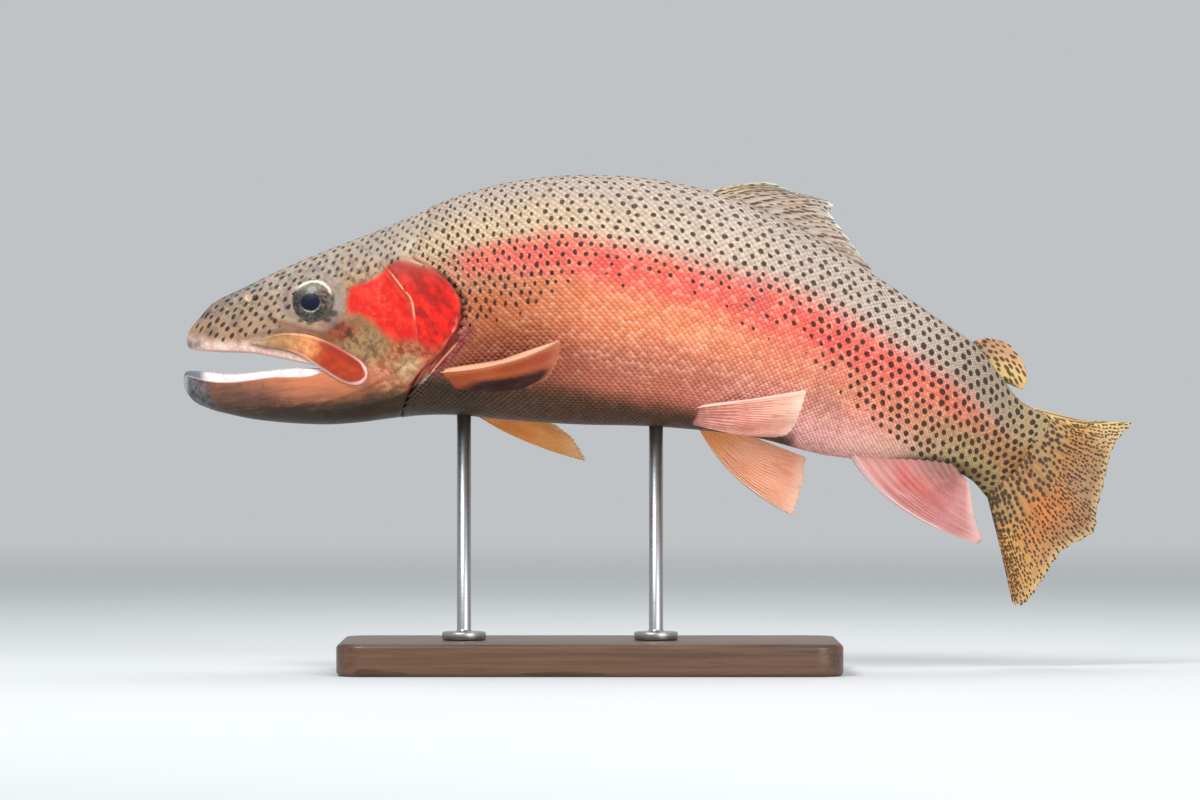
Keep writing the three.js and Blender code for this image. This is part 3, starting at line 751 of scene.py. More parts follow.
# Where the colours and spots lie: s along the fish, and heights from -1 at the belly to 1 at the back.
# spacing and radius are in mm, redTop and redFoot give x and z, and coverLine gives z and x.
markings = {
    "bandMiddle": [(100, 0.4), (139, 0.36), (170, 0.37), (206, 0.3), (240, 0.21), (275, 0.18), (308, 0.18),
                   (362, 0.2), (400, 0.15), (437, 0.1)],
    "bandWidth": [(100, 0.2), (139, 0.2), (170, 0.25), (206, 0.28), (256, 0.32), (308, 0.4), (362, 0.4),
                  (437, 0.3)],
    "bandStrength": [(100, 0), (124, 0), (142, 0.7), (156, 0.95), (206, 1), (256, 0.95), (308, 1),
                     (350, 0.85), (385, 0.6), (410, 0.3), (437, 0)],
    # where the dark belly begins: partly its own tone, partly painted shade
    "bellyShadeEdge": [(100, -0.62), (130, -0.68), (170, -0.72), (206, -0.79), (235, -0.84), (265, -0.87),
                  (290, -0.88), (306, -0.88), (322, -0.95), (336, -1.15), (352, -1.15), (385, -0.9),
                  (437, -0.75)],
    "spacing": [(0, 4.8), (100, 4.9), (126, 4.9), (180, 5.2), (260, 5.4), (330, 5.3), (400, 5.0), (437, 4.4)],
    "radius": [(0, 1.1), (60, 1.08), (112, 1.04), (128, 1.12), (180, 1.12), (260, 1.2), (330, 1.32),
               (400, 1.42), (437, 1.35)],
    "lowest": [(0, -0.36), (30, -0.3), (50, -0.2), (62, 0.46), (85, 0.36), (100, 0.44), (117, 0.5),
               (126, -0.35), (140, -0.38), (150, -0.25), (162, -0.14), (176, -0.12), (200, -0.02),
               (220, -0.04), (256, -0.12), (287, -0.22), (308, -0.26), (320, -0.38), (336, -0.54),
               (352, -0.6), (375, -0.76), (389, -0.94), (404, -1.15), (437, -1.2)],
    "thick": [(0, -0.3), (30, -0.24), (50, 0.0), (62, 0.56), (85, 0.5), (100, 0.54), (117, 0.58), (126, -0.1),
              (150, -0.08), (176, 0.08), (200, 0.42), (222, 0.5), (256, 0.5), (300, 0.34), (320, 0.08),
              (336, -0.14), (352, -0.34), (375, -0.62), (389, -0.82), (404, -1.02), (437, -1.1)],
    "redTop": [(-147, 44), (-143.5, 56.5), (-135.5, 58.8), (-128, 63.5), (-123, 68.8), (-117, 70.5),
               (-108, 69.5), (-99, 64.5), (-92.5, 56), (-88, 46)],
    "redFoot": [(-147, 44), (-143.5, 43), (-135, 40.5), (-128, 34), (-120, 30), (-112, 28.5), (-104.5, 24),
                (-98, 23), (-93, 30), (-88, 44)],
    "coverLine": [(8, -114), (22.5, -110.7), (32.5, -110.7), (42, -112), (49, -113.2), (55, -117.5),
                  (61, -122), (66, -126), (70, -129)],
    "halfHeight": 60,              # of the body, in mm
}


# The body behind the head: back, cream above the band, red band, orange flank, and a dark belly that is
# partly its own dusky tone and partly painted shade
def paintFlank(tree, s, height, where):
    cloud = tree.noise(where, 0.02, 3, 0.55)
    grain = tree.noise(where, 0.0045, 4, 0.65)
    height = height + (cloud - 0.5) * 0.12 + (grain - 0.5) * 0.08
    front, rear, stalk = s.ease(222, 152), s.ease(255, 320), s.ease(350, 412)
    back = tree.mix(height.ease(0.62, 0.95), tree.mix(s.ease(170, 250), (208, 180, 146), (200, 179, 160)),
                    (182, 164, 152))
    back = tree.mix(rear * 0.6, back, (176, 160, 149))
    back = tree.mix(stalk * height.ease(0.0, 0.5), back, (150, 134, 112))
    flank = tree.mix(height.ease(-0.65, -0.1), (204, 114, 90), (234, 134, 92))
    flank = tree.mix(s.ease(250, 200) * height.ease(-0.2, -0.6) * 0.6, flank, (184, 100, 74))
    warm = s.hump(262, 44) * height.hump(-0.1, 0.3) * (cloud * 0.6 + grain * 0.4).ease(0.46, 0.6)
    flank = tree.mix(warm * 0.45, flank, (248, 170, 126))
    fore = tree.ramp((height + 0.8) / 1.4, [
        (0.0, (140, 78, 58)), (0.3, (152, 72, 40)), (0.55, (192, 104, 60)), (0.85, (186, 136, 106))])
    flank = tree.mix(front, flank, fore)
    hind = tree.mix(height.ease(-0.85, -0.25), (240, 176, 168), (222, 128, 98))
    hind = tree.mix(s.hump(336, 30) * height.hump(-0.45, 0.4) * cloud.ease(0.38, 0.6) * 0.7, hind,
                    (166, 112, 100))
    hind = tree.mix(grain.ease(0.5, 0.68) * height.ease(-0.2, -0.7) * 0.3, hind, (190, 120, 106))
    flank = tree.mix(rear, flank, hind)
    flank = tree.mix(stalk, flank, tree.mix(height.ease(-0.75, -0.1), (166, 148, 98), (166, 130, 90)))
    pale = grain.ease(0.52, 0.75) * height.ease(-0.6, 0.0) * 0.25
    flank = tree.mix(pale, flank, (250, 196, 160))
    middle = tree.curve(s, markings["bandMiddle"])
    colour = tree.mix((height - middle).ease(0.02, 0.22), flank, back)
    across = ((height - middle) / tree.curve(s, markings["bandWidth"])).sum("ABSOLUTE")
    red = across.ease(1.05, 0.15) * tree.curve(s, markings["bandStrength"])
    redTone = tree.mix(cloud.ease(0.35, 0.65), (242, 98, 84), (234, 78, 76))
    colour = tree.mix(red * (0.7 + grain * 0.3), colour, redTone)
    dusky = s.hump(280, 30) * (height - middle).hump(0.08, 0.24) * cloud.ease(0.38, 0.58)
    colour = tree.mix(dusky * 0.6, colour, (172, 84, 94))
    # the belly below its edge: its own dusky tone, darkened with painted shade under the fish
    edge = tree.curve(s, markings["bellyShadeEdge"])
    belly = tree.mix(stalk, (82, 52, 34), (80, 64, 48))
    colour = tree.mix((height - edge).ease(0.16, -0.06), colour,
                      tree.mix(grain.ease(0.4, 0.7), belly, (92, 66, 46)))
    veil = height.ease(-0.25, -0.5) * (height - edge).ease(0.0, 0.3) * (1 - rear) * 0.2
    colour = tree.mix(veil, colour, (150, 84, 74))
    nearTail = (s + (cloud - 0.5) * 36).ease(398, 434)
    tailRoot = tree.mix(height.ease(-0.1, 0.7),
                        tree.mix(height.ease(-0.7, -0.2), (158, 132, 84), (164, 112, 66)),
                        (174, 146, 100))
    return tree.mix(nearTail * 0.9, colour, tailRoot)


# The head: grey crown, brown gold cheek, red gill cover, orange brown jaw with a grey chin
def paintHead(tree, x, z, height, where):
    cloud = tree.noise(where, 0.009, 3, 0.55)
    mottle = tree.noise(where, 0.0035, 4, 0.65)
    grain = tree.noise(where, 0.0013, 3, 0.6)
    wobble = (cloud - 0.5) * 5 + (mottle - 0.5) * 3
    crown = tree.mix(height.ease(0.2, 0.9), (146, 122, 97), (156, 145, 133))
    crown = tree.mix(x.hump(-200, 18) * height.ease(0.3, 0.8) * 0.8, crown, (84, 97, 101))
    crown = tree.mix(x.ease(-198, -220), crown, (86, 80, 78))
    # pale flecks on the crown: painted highlights on its pebbly skin
    crown = tree.mix(grain.ease(0.5, 0.64) * 0.5, crown, (190, 174, 144))
    crown = tree.mix(mottle.ease(0.5, 0.38) * 0.6, crown, (100, 90, 76))
    crown = tree.mix(cloud.ease(0.52, 0.64) * 0.35, crown, (186, 150, 140))
    side = tree.mix(x.ease(-186, -160), (160, 132, 112), (148, 98, 62))
    side = tree.mix(mottle.ease(0.45, 0.62) * 0.6, side, (170, 124, 76))
    side = tree.mix(cloud.ease(0.5, 0.36) * 0.5, side, (106, 80, 64))
    colour = tree.mix((z + wobble).ease(36, 46) * (1 - x.ease(-150, -138) * z.ease(62, 52)), side, crown)
    behindEye = x.ease(-154, -144) * z.ease(44, 50) * z.ease(76, 62) * x.ease(-96, -116)
    colour = tree.mix(behindEye * 0.85, colour,
                      tree.mix(mottle.ease(0.4, 0.6), (116, 88, 64), (172, 138, 102)))
    cheekFoot = x.ease(-150, -136) * z.ease(30, 18)
    colour = tree.mix(cheekFoot * 0.8, colour,
                      tree.mix(mottle.ease(0.4, 0.65), (150, 92, 58), (196, 138, 96)))
    for atX, atZ, wide, tall, strength, dark, light in (
            (-138, 27, 16, 11, 0.85, (98, 80, 56), (160, 124, 84)),
            (-149, 34, 12, 7, 0.85, (70, 28, 18), (146, 52, 32)),
            (-114, 25, 13, 9, 0.8, (122, 44, 28), (190, 106, 70)),
            (-129, 12, 9, 7, 0.8, (176, 84, 44), (214, 140, 112)),
            (-114, 16, 10, 9, 0.75, (160, 128, 92), (206, 170, 130))):
        off = (((x - atX) / wide) ** 2 + ((z - atZ) / tall) ** 2) ** 0.5 + wobble * 0.05
        colour = tree.mix(off.ease(1.0, 0.35) * strength, colour,
                          tree.mix(mottle.ease(0.4, 0.6), dark, light))
    eyeRing = ((x - eyePlace[0]) ** 2 + (z - eyePlace[1]) ** 2) ** 0.5
    colour = tree.mix(eyeRing.hump(14, 5) * 0.5, colour, (142, 124, 118))
    # a pale crescent over the eye, broken by the mottle: a painted highlight along the eye's upper rim
    eyeTopHighlight = eyeRing.hump(10.6, 1.3) * z.ease(eyePlace[1] + 2, eyePlace[1] + 8)
    colour = tree.mix(eyeTopHighlight * mottle.ease(0.3, 0.6) * 0.7, colour, (214, 210, 190))
    fore = eyeRing.hump(12.5, 3) * z.ease(eyePlace[1] + 6, eyePlace[1] - 2)
    colour = tree.mix(fore * x.ease(-171, -176) * 0.5, colour, (128, 108, 118))
    colour = tree.mix(fore * x.ease(-156, -151) * 0.5, colour, (156, 134, 142))
    fold = tree.curve(x, [(-190, 40), (-174, 37), (-161, 33.5), (-147, 29), (-138, 25)])
    reach = x.ease(-188, -176) * x.ease(-142, -150)
    colour = tree.mix((z - fold).hump(3.2, 2) * reach * x.ease(-154, -163) * 0.5, colour, (182, 158, 116))
    # painted shade along the crease of the fold under the eye
    colour = tree.mix((z - fold + wobble * 0.2).hump(0, 1.7) * reach * 0.6, colour, (132, 76, 48))
    for spotX, spotZ, wide in ((-175.4, 46, 2.4), (-153, 43, 3.4), (-155.6, 40, 2.6), (-164, 38.4, 2.4),
                               (-168.5, 39.4, 2), (-183, 40.4, 2)):
        off = ((x - spotX) ** 2 * 0.7 + (z - spotZ) ** 2 * 1.6) ** 0.5 + wobble * 0.35
        colour = tree.mix(off.ease(wide, wide * 0.3) * 0.8, colour, (44, 40, 34))
    for ((atX, atZ), _), tint in zip(nostrils, ((214, 188, 148), (74, 50, 36))):
        off = ((x - atX) ** 2 + (z - atZ) ** 2) ** 0.5
        colour = tree.mix(off.ease(2.2, 1.0) * 0.85, colour, tint)

    # the red of the gill cover, with the pale line where its front plate ends
    top, foot = tree.curve(x, markings["redTop"]), tree.curve(x, markings["redFoot"])
    onRear = x.ease(-122, -112)
    red = ((top - z + wobble * 0.5) / (onRear * 1.3 + 1)).ease(-1.4, 1.6)
    red = red * (z - foot + wobble * 1.4).ease(-2.6, 3.4)
    red = red * (x + wobble * 0.5).ease(-148, -143) * x.ease(-86.5, -89)
    coverLine = tree.curve(z, markings["coverLine"])
    plate = (x - coverLine).ease(-1, 1)
    blotch = tree.noise(tree.vector(x * 0.16 + z * 0.05, z * 0.11, 3), 1, 4, 0.6)
    frontRed = tree.mix(blotch.ease(0.42, 0.66), (206, 14, 8), (232, 46, 28))
    frontRed = tree.mix(mottle.ease(0.5, 0.7) * x.hump(-128, 16) * 0.35, frontRed, (236, 112, 84))
    rearRed = tree.mix(blotch.ease(0.4, 0.62), (160, 12, 10), (226, 26, 14))
    rearRed = tree.mix((z + wobble).hump(40, 10) * x.ease(-106, -98) * blotch.ease(0.36, 0.56) * 0.7, rearRed,
                       (250, 16, 12))
    rearRed = tree.mix((blotch * 0.6 + mottle * 0.4).ease(0.53, 0.66) * 0.5, rearRed, (230, 62, 46))
    rearRed = tree.mix((z + wobble).ease(53, 68), rearRed, tree.mix(mottle, (150, 34, 30), (184, 62, 52)))
    colour = tree.mix(red * 0.97, colour, tree.mix(plate, frontRed, rearRed))
    under = z.ease(30, 22) * z.ease(-2, 8) * x.ease(-112, -104)
    colour = tree.mix(under * 0.8, colour, tree.mix(mottle.ease(0.4, 0.6), (150, 46, 28), (190, 92, 58)))
    line = (x - coverLine).hump(-0.1, 0.9) * (z.ease(38, 45) * 0.85 + z.ease(8, 14) * 0.1)
    line = line * z.ease(66, 60) * mottle.ease(0.36, 0.52)
    colour = tree.mix(line, colour, (226, 176, 124))
    shadow = (x - coverLine).hump(-1.6, 1.3) * z.ease(36, 44) * z.ease(70, 66)
    colour = tree.mix(shadow * mottle.ease(0.36, 0.56) * 0.7, colour, (76, 62, 44))
    ridge = (x - tree.curve(z, gillEdge)).hump(-1.6, 1.2) * z.ease(18, 25) * z.ease(44, 34)
    ridge = ridge * mottle.ease(0.35, 0.55)
    colour = tree.mix(ridge * 0.7, colour, (236, 150, 118))

    # the lower jaw, from orange at the lip to nearly black below, where painted shade darkens its underside
    jaw = tree.ramp((z + (mottle - 0.5) * 9 + (cloud - 0.5) * 5).ease(-13, 13), [
        (0.0, (42, 30, 20)), (0.22, (64, 42, 30)), (0.45, (106, 68, 50)), (0.75, (138, 88, 64)),
        (1.0, (186, 112, 76))])
    streak = tree.noise(tree.vector(x * 0.05 + z * 0.03, z * 0.45 - x * 0.06, 5), 1, 4, 0.65)
    jaw = tree.mix(streak.ease(0.5, 0.66) * z.ease(-12, -2) * 0.4, jaw, (176, 122, 88))
    jaw = tree.mix(streak.ease(0.48, 0.36) * 0.5, jaw, (74, 44, 32))
    jaw = tree.mix(x.ease(-188, -166) * x.ease(-132, -144) * z.ease(-5, 8) * 0.75, jaw,
                   tree.mix(streak, (180, 100, 64), (224, 138, 96)))
    # painted shade on the rear of the jaw's underside
    jaw = tree.mix(x.ease(-144, -132) * z.ease(10, -2) * 0.7, jaw, (80, 42, 26))
    jaw = tree.mix(x.ease(-178, -206) * 0.55, jaw, (84, 60, 52))
    isJaw = x.ease(-124, -136) * (z - (x + 136).sum("MINIMUM", 0.0) * -0.02).ease(15.5, 12.5)
    colour = tree.mix(isJaw, colour, jaw)
    # painted shade under the throat, nearly black
    throatShadeEdge = tree.curve(x, [(-170, -3), (-144, 0), (-130, 3.5), (-120, 6.5), (-110, 10), (-98, 12)])
    throat = (z + wobble - throatShadeEdge).ease(3, -5)
    colour = tree.mix(throat * 0.95, colour, tree.mix(mottle, (34, 26, 18), (64, 52, 38)))
    chin = (x + z * 0.25 + wobble * 1.2).ease(-209, -219) * z.ease(17.5, 16)
    colour = tree.mix(chin * 0.92, colour, tree.mix(mottle.ease(0.35, 0.65), (62, 60, 62), (112, 112, 118)))
    # painted highlight along the lower edge of the chin's tip
    chinRimHighlight = x.ease(-224.5, -227.2) * z.ease(18, 15) * z.ease(-4, 3)
    colour = tree.mix(chinRimHighlight * 0.8, colour, (184, 188, 192))

    # the upper lip, pale pink along the mouth
    lipLine = tree.curve(x, [
        (-228, 28.6), (-210, 25.6), (-196, 24.4), (-180, 20.4), (-170, 18.2), (-156, 16.2), (-150, 15)])
    lip = (z - lipLine).ease(6.5, 1.5) * x.ease(-148, -160) * (1 - isJaw)
    lipTone = tree.mix(mottle.ease(0.35, 0.65), (210, 164, 144), (234, 208, 198))
    colour = tree.mix(lip * 0.88, colour, lipTone)
    tip = (x + wobble * 0.6).ease(-215, -224) * z.ease(33, 28) * (1 - isJaw)
    return tree.mix(tip * 0.75, colour, tree.mix(mottle.ease(0.4, 0.6), (70, 66, 66), (132, 126, 124)))


# Dark spots, each whole: a cell's own place decides whether it has one. Gives the spots and their rings.
def paintSpots(tree, s, girth, height, where):
    keys = markings["spacing"]
    fine = np.linspace(0, tailEnd, 60)
    apart = curveAt(keys, fine)
    run = np.concatenate([[0], np.cumsum(np.diff(fine) / (0.5 * (apart[1:] + apart[:-1])))])
    spacing = tree.curve(s, keys)
    along = tree.curve(s, [(float(at), float(np.interp(at, fine, run))) for at, _ in keys])
    warp = (tree.noise(where, 0.012, 1) - 0.5) * 0.35
    around = girth / spacing + warp
    along = along + warp
    leant = 3 ** -0.5
    cells = tree.add("ShaderNodeTexVoronoi", {"voronoi_dimensions": "2D"}, {
        "Vector": tree.vector(along - around * leant, around * 2 * leant, 0),
        "Scale": 1.0, "Randomness": 0.3})
    cellAlong, cellAround, _ = tree.parts(cells.out("Position"))
    luckA, luckB, _ = tree.parts(cells.out("Color"))
    offAlong = (along - cellAlong - cellAround * 0.5) * spacing
    offAround = (around - cellAround / (2 * leant)) * spacing
    tall = s.hump(136, 96) * 0.34 + 1.0
    away = ((offAlong * tall) ** 2 + (offAround / tall) ** 2) ** 0.5
    away = away + (tree.noise(where, 0.0022, 2) - 0.5) * 0.9
    steep = (1 - height * height).sum("MAXIMUM", 0.0) ** 0.5
    outward = girth.sum("SIGN")
    cellHeight = height + offAround * outward / markings["halfHeight"] * steep
    cellS = s - offAlong
    lowest = tree.curve(cellS, markings["lowest"])
    thick = tree.curve(cellS, markings["thick"])
    share = (cellHeight - lowest) / (thick - lowest)
    present = luckB < share.ease(0.0, 1.0) * 0.96 + (share > 0.999) * 0.04
    size = tree.curve(cellS, markings["radius"]) * (0.86 + luckA * 0.28) * (0.62 + 0.38 * share.ease(0, 1.1))
    present = present * (share > 0.0) * (cellS > 4)
    spot = (size - away).ease(-0.4, 0.34) * present
    ring = (away - size).ease(1.5, 0.2) * present
    return spot.sum("MINIMUM", 1.0), ring


def paintSkin(tree):
    s, girth, height = tree.parts(tree.attribute("lay"))
    mouth = tree.attribute("mouth", "Fac")
    placeX, placeY, placeZ = tree.parts(tree.here())
    where = tree.vector(placeX, placeY, placeZ)      # joined again so that fewer values are held at once
    x = placeX * (1 / mm) - shift[0] / mm
    z = placeZ * (1 / mm) - axisDatum
    behind = x - tree.curve(z, gillEdge)
    flank = paintFlank(tree, s, height, where)
    head = paintHead(tree, x, z, height, where)
    nape = z.ease(60, 72)
    colour = tree.mix(behind.ease(0.6, -0.2) * (1 - nape) + (behind.ease(14, -14) * nape), flank, head)

    # behind the gill cover: its shade, the bare strip, the folded gill rays and painted shade on the chest
    # below them
    shade = behind.hump(1.4, 3.2) * z.ease(70, 62) * z.ease(-6, 4)
    colour = tree.mix(shade * 0.75, colour, (84, 26, 20))
    lastRay = z - tree.curve(x, gillRay)
    streaks = tree.noise(tree.vector(x * 0.55 + z * -0.4, x * 0.06 + z * 0.06, 1), 1, 3, 0.6)
    bare = behind.ease(-0.5, 1.5) * behind.ease(11, 6) * z.ease(10, 16)
    colour = tree.mix(bare * z.ease(42, 32) * 0.85, colour,
                      tree.mix(streaks.ease(0.4, 0.62), (122, 30, 36), (170, 74, 76)))
    folded = lastRay.ease(-0.5, 0.5) * behind.ease(-5, 0) * behind.ease(7, 4) * z.ease(34, 24)
    colour = tree.mix(folded * 0.85, colour,
                      tree.mix(streaks.ease(0.42, 0.6), (94, 16, 8),
                               tree.mix(z.ease(14, 24), (196, 106, 76), (138, 38, 22))))
    # painted shade, nearly black, on the chest under the pectoral fin
    breastShade = x.ease(-66, -92) * z.ease(14, 7) * behind.ease(-1, 1)
    colour = tree.mix(breastShade * 0.75, colour, (42, 33, 23))
    colour = tree.mix(lastRay.hump(0.2, 1.5) * x.ease(-113, -106) * x.ease(-89, -93) * 0.85, colour,
                      tree.mix(z.ease(11, 17), (172, 148, 146), (236, 156, 120)))

    # each scale's own tint and a painted highlight along its rear edge, then the spots
    inX, inY, _ = tree.parts(tree.attribute("inScale"))
    tint = tree.attribute("tint", "Fac")
    aboveBellyShade = (height - tree.curve(s, markings["bellyShadeEdge"])).ease(0.05, 0.3)
    light = tint.ease(0.5, 1.0) * (s.ease(130, 230) * 0.14 + 0.07)
    colour = tree.mix(light * height.ease(0.9, 0.3) * aboveBellyShade, colour, (255, 214, 178))
    colour = tree.mix(tint.ease(0.5, 0.02) * (tint > 0) * 0.2, colour, (110, 60, 42))
    # painted highlight on the raised rear edge of each scale
    rimHighlight = (inX * inX * 4 + inY * inY).ease(0.55, 1.0) * inX.ease(-0.05, 0.1)
    colour = tree.mix(rimHighlight * (aboveBellyShade * 0.15 + 0.03), colour, (255, 230, 212))
    spot, ring = paintSpots(tree, s, girth, height, where)
    onCover = behind.ease(0.4, -0.4) * x.ease(-120, -116) * z.ease(72.5, 70.5)
    outside = (mouth < 0.5) * (1 - onCover)
    colour = tree.mix(ring * outside * behind.ease(0, 10) * height.ease(0.0, 0.6) * 0.12, colour,
                      (240, 222, 200))
    spotTone = tree.mix(height.ease(0.4, 0.95) * s.ease(390, 300), (44, 24, 14), (74, 54, 42))
    colour = tree.mix(spot * outside * 0.93, colour, spotTone)

    # the lining of the mouth: white gums behind the chin, grey pink beyond them
    fine = tree.noise(where, 0.0009, 3)
    folds = tree.noise(where, 0.0035, 3, 0.6)
    gum = tree.mix(s.ease(6, 12), (112, 116, 124),
                   tree.mix(folds.ease(0.4, 0.65), (240, 234, 234), (222, 204, 202)))
    lining = tree.mix(mouth.ease(2.24, 2.5), gum, (176, 150, 148))
    roof = tree.mix(mouth.ease(1.1, 1.35), (206, 164, 152), (176, 152, 146))
    lining = tree.mix(mouth < 2, lining, roof)
    colour = tree.mix(mouth > 0.5, colour, lining)
    onHead = behind.ease(2, -2)
    return {"Base Color": colour, "Roughness": 0.36 + onHead * 0.1 + fine * 0.16,
            "Coat Weight": (0.2 - onHead * 0.12) * (1 - spot * 0.8),
            "Bump": (fine + folds * (1.5 + onHead * 2.5), 0.3, 0.25)}


wetSkin = material("wet_skin", paintSkin, coat_roughness=0.16, specular_ior_level=0.25)
skinPiece = buildSkin(wetSkin)
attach(skinPiece, "root")
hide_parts("head", "jaw_lower", "gill_cover_left", "gill_cover_right", "trunk", "tail_stalk")
print("the skin is on:", len(skinPiece.data.polygons), "faces")


scales = {
    "rows": 90,                    # on each side, from the back to the belly
    "length": 2.0,                 # one scale's step along the fish, in row spacings
    "from": 96, "to": 434,         # how far they reach along the axis
    "bare": 1.6, "bareBelow": 4.5,      # skin left free behind the gill opening, and more low down
    "napeFlatter": 0.6, "foreFlatter": 0.45,
    "alongSamples": 700, "roundSamples": 361,
    "rootDepth": 0.35, "rise": 0.14, "thickness": 0.05, "dome": 0.01, "typical": 3.2,
    "sizeJitter": 0.06, "patch": 0.003, "seed": 11,
}


# One scale: its root is buried, and its rounded rear edge stands highest. Its length is 1 step of the lay,
# and its width is 2 rows.
def buildScaleShape():
    outline = [(-0.62, -0.35), (0, -1.02), (0.27, -0.86), (0.44, -0.49), (0.5, 0), (0.44, 0.49), (0.27, 0.86),
               (0, 1.02), (-0.62, 0.35)]
    slope = scales["rise"] / 1.12      # the outline's length
    top = [(x, y, (x + 0.62) * slope - scales["dome"] * y * y) for x, y in outline]
    top.append((0.1, 0, 0.72 * slope + scales["dome"]))
    under = [(x, y, z - scales["thickness"]) for x, y, z in top[:-1]]
    points = np.array(top + under)
    count = len(outline)
    faces = [(i, (i + 1) % count, count) for i in range(count)]
    faces += [(i, count + 1 + i, count + 1 + (i + 1) % count, (i + 1) % count) for i in range(count)]
    faces.append(tuple(range(2 * count, count, -1)))
    mesh = bpy.data.meshes.new("scale_shape")
    mesh.from_pydata(points.tolist(), [], faces)
    mesh.attributes.new("inScale", "FLOAT_VECTOR", "POINT").data.foreach_set("vector", points.ravel())
    mesh.polygons.foreach_set("use_smooth", [True] * len(mesh.polygons))
    for edge in mesh.edges:
        edge.use_edge_sharp = max(edge.vertices) < count
    shape = bpy.data.objects.new("scale_shape", mesh)
    bpy.context.scene.collection.objects.link(shape)
    return shape


# Where one side's scales root: their places, lie, outward direction, size and place on the flattened skin
def scaleRoots(side):
    rows = scales["rows"]
    fine = np.linspace(scales["from"], scales["to"], scales["alongSamples"])
    angles = np.linspace(0, side * math.pi, scales["roundSamples"])

    def down(s):
        y, h = roundBody(s[:, None], angles[None, :])
        line = place(s[:, None], y, h)
        lengths = np.linalg.norm(np.diff(line, axis=1), axis=2)
        return line, np.concatenate([np.zeros((len(s), 1)), np.cumsum(lengths, axis=1)], 1)

    spacing = down(fine)[1][:, -1] / rows
    between = scales["length"] * 0.5 * (spacing[1:] + spacing[:-1])
    steps = np.concatenate([[0], np.cumsum(np.diff(fine) / between)])
    found = []
    for parity in (0, 1):
        turn = np.arange(parity, rows, 2)
        share = (turn + 0.5) / rows
        step = np.arange(1 + 0.5 * ((parity + (side > 0)) % 2), steps[-1], 1.0)
        s = np.interp(step, steps, fine)
        width = np.interp(s, fine, spacing)

        def at(s, share):
            lines = [[np.interp(share * run[-1], run, line[:, k]) for k in range(3)]
                     for line, run in zip(*down(s))]
            return np.stack(lines).transpose(0, 2, 1)

        middle = at(s, share)
        lie = unit(at(s + 0.6, share) - at(s - 0.6, share))
        across = at(s, share + 0.004) - at(s, share - 0.004)
        out = unit(np.cross(lie, across)) * -side
        width = width[:, None] + 0 * share
        length = scales["length"] * width
        size = np.stack([length, width, length / scales["typical"]], -1)
        flat = np.stack(np.broadcast_arrays(0.02 + 0.95 * step[:, None] / steps[-1],
                                            0.5 - side * 0.47 * share[None, :], 0.0), -1)
        found.append([part.reshape(-1, 3) for part in (middle, lie, out, size, flat)])
    middle, lie, out, size, flat = (np.concatenate(parts) for parts in zip(*found))
    x, z = middle[:, 0], middle[:, 2] - axisDatum
    behind = toGillEdge(x, z)
    middle += out * (behindGill(x, z) - scales["rootDepth"])[:, None]
    kept = behind > scales["bare"] + scales["bareBelow"] * ease(34, 27, z) * ease(6, 12, z)
    size[:, 2] *= 1 - scales["napeFlatter"] * ease(40, 65, z) * ease(70, 5, behind)
    size[:, 2] *= 1 - scales["foreFlatter"] * ease(120, 20, behind)
    order = np.argsort(middle[kept][:, 0])
    return [part[kept][order] for part in (middle, lie, out, size, flat)]


def scaleTree(shape, skinPiece, skinMaterial, sizes):
    group, tree, given = newGrowth("laid_scales", sizes)

    def fromObject(thing):
        return tree.add("GeometryNodeObjectInfo", None, {"Object": thing}).out("Geometry")

    facing = tree.add("FunctionNodeAxesToRotation", {"primary_axis": "Z", "secondary_axis": "X"}, {
        "Primary Axis": tree.rooted("out"), "Secondary Axis": tree.rooted("lie")})
    size = tree.add("ShaderNodeVectorMath", {"operation": "SCALE"}, {
        "Vector": tree.rooted("size"), "Scale": varied(tree, given)})
    whole = instances(tree, given, fromObject(shape), facing.out(), size.out())
    near = tree.add("GeometryNodeSampleNearestSurface", {"data_type": "FLOAT_VECTOR"}, {
        "Mesh": fromObject(skinPiece), "Value": tree.rooted("lay")})
    whole = tree.add("GeometryNodeStoreNamedAttribute", {"data_type": "FLOAT_VECTOR", "domain": "POINT"}, {
        "Geometry": whole, "Name": "lay", "Value": near.out("Value")}).out()
    patch = tree.add("ShaderNodeVectorMath", {"operation": "SCALE"}, {
        "Vector": tree.rooted("inScale"), "Scale": given.out("Patch")})
    flat = tree.add("ShaderNodeVectorMath", {"operation": "ADD"})
    tree.feed(flat.node.inputs[0], tree.rooted("flat"))
    tree.feed(flat.node.inputs[1], patch.out())
    whole = tree.add("GeometryNodeStoreNamedAttribute", {"data_type": "FLOAT2", "domain": "CORNER"}, {
        "Geometry": whole, "Name": "OFBake", "Value": flat.out()}).out()
    for name in ("out", "lie", "size", "flat"):
        whole = tree.add("GeometryNodeRemoveAttribute", None, {"Geometry": whole, "Name": name}).out()
    return finished(group, tree, whole, skinMaterial)


scaleSizes = {"Smallest": 1 - scales["sizeJitter"], "Largest": 1 + scales["sizeJitter"],
              "Patch": scales["patch"], "Seed": scales["seed"]}
scaleShape = buildScaleShape()
scaleGroup = scaleTree(scaleShape, skinPiece, wetSkin, scaleSizes)
for side, sideName in ((-1, "left"), (1, "right")):
    roots = scaleRoots(side)
    for part, partName in zip(np.array_split(np.arange(len(roots[0])), 3), ("fore", "middle", "rear")):
        places, lie, out, size, flat = (values[part] for values in roots)
        tint = np.random.default_rng(scales["seed"]).random(len(places))
        piece = grow("scales_" + sideName + "_" + partName, places,
                     {"lie": lie, "out": out, "size": size * mm, "flat": flat, "tint": tint},
                     scaleGroup, scaleSizes)
        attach(piece, "root")
        count = sum(len(face.vertices) - 2 for face in piece.data.polygons)
        print("scales,", sideName, partName, "-", count, "triangles")
bpy.data.objects.remove(scaleShape)

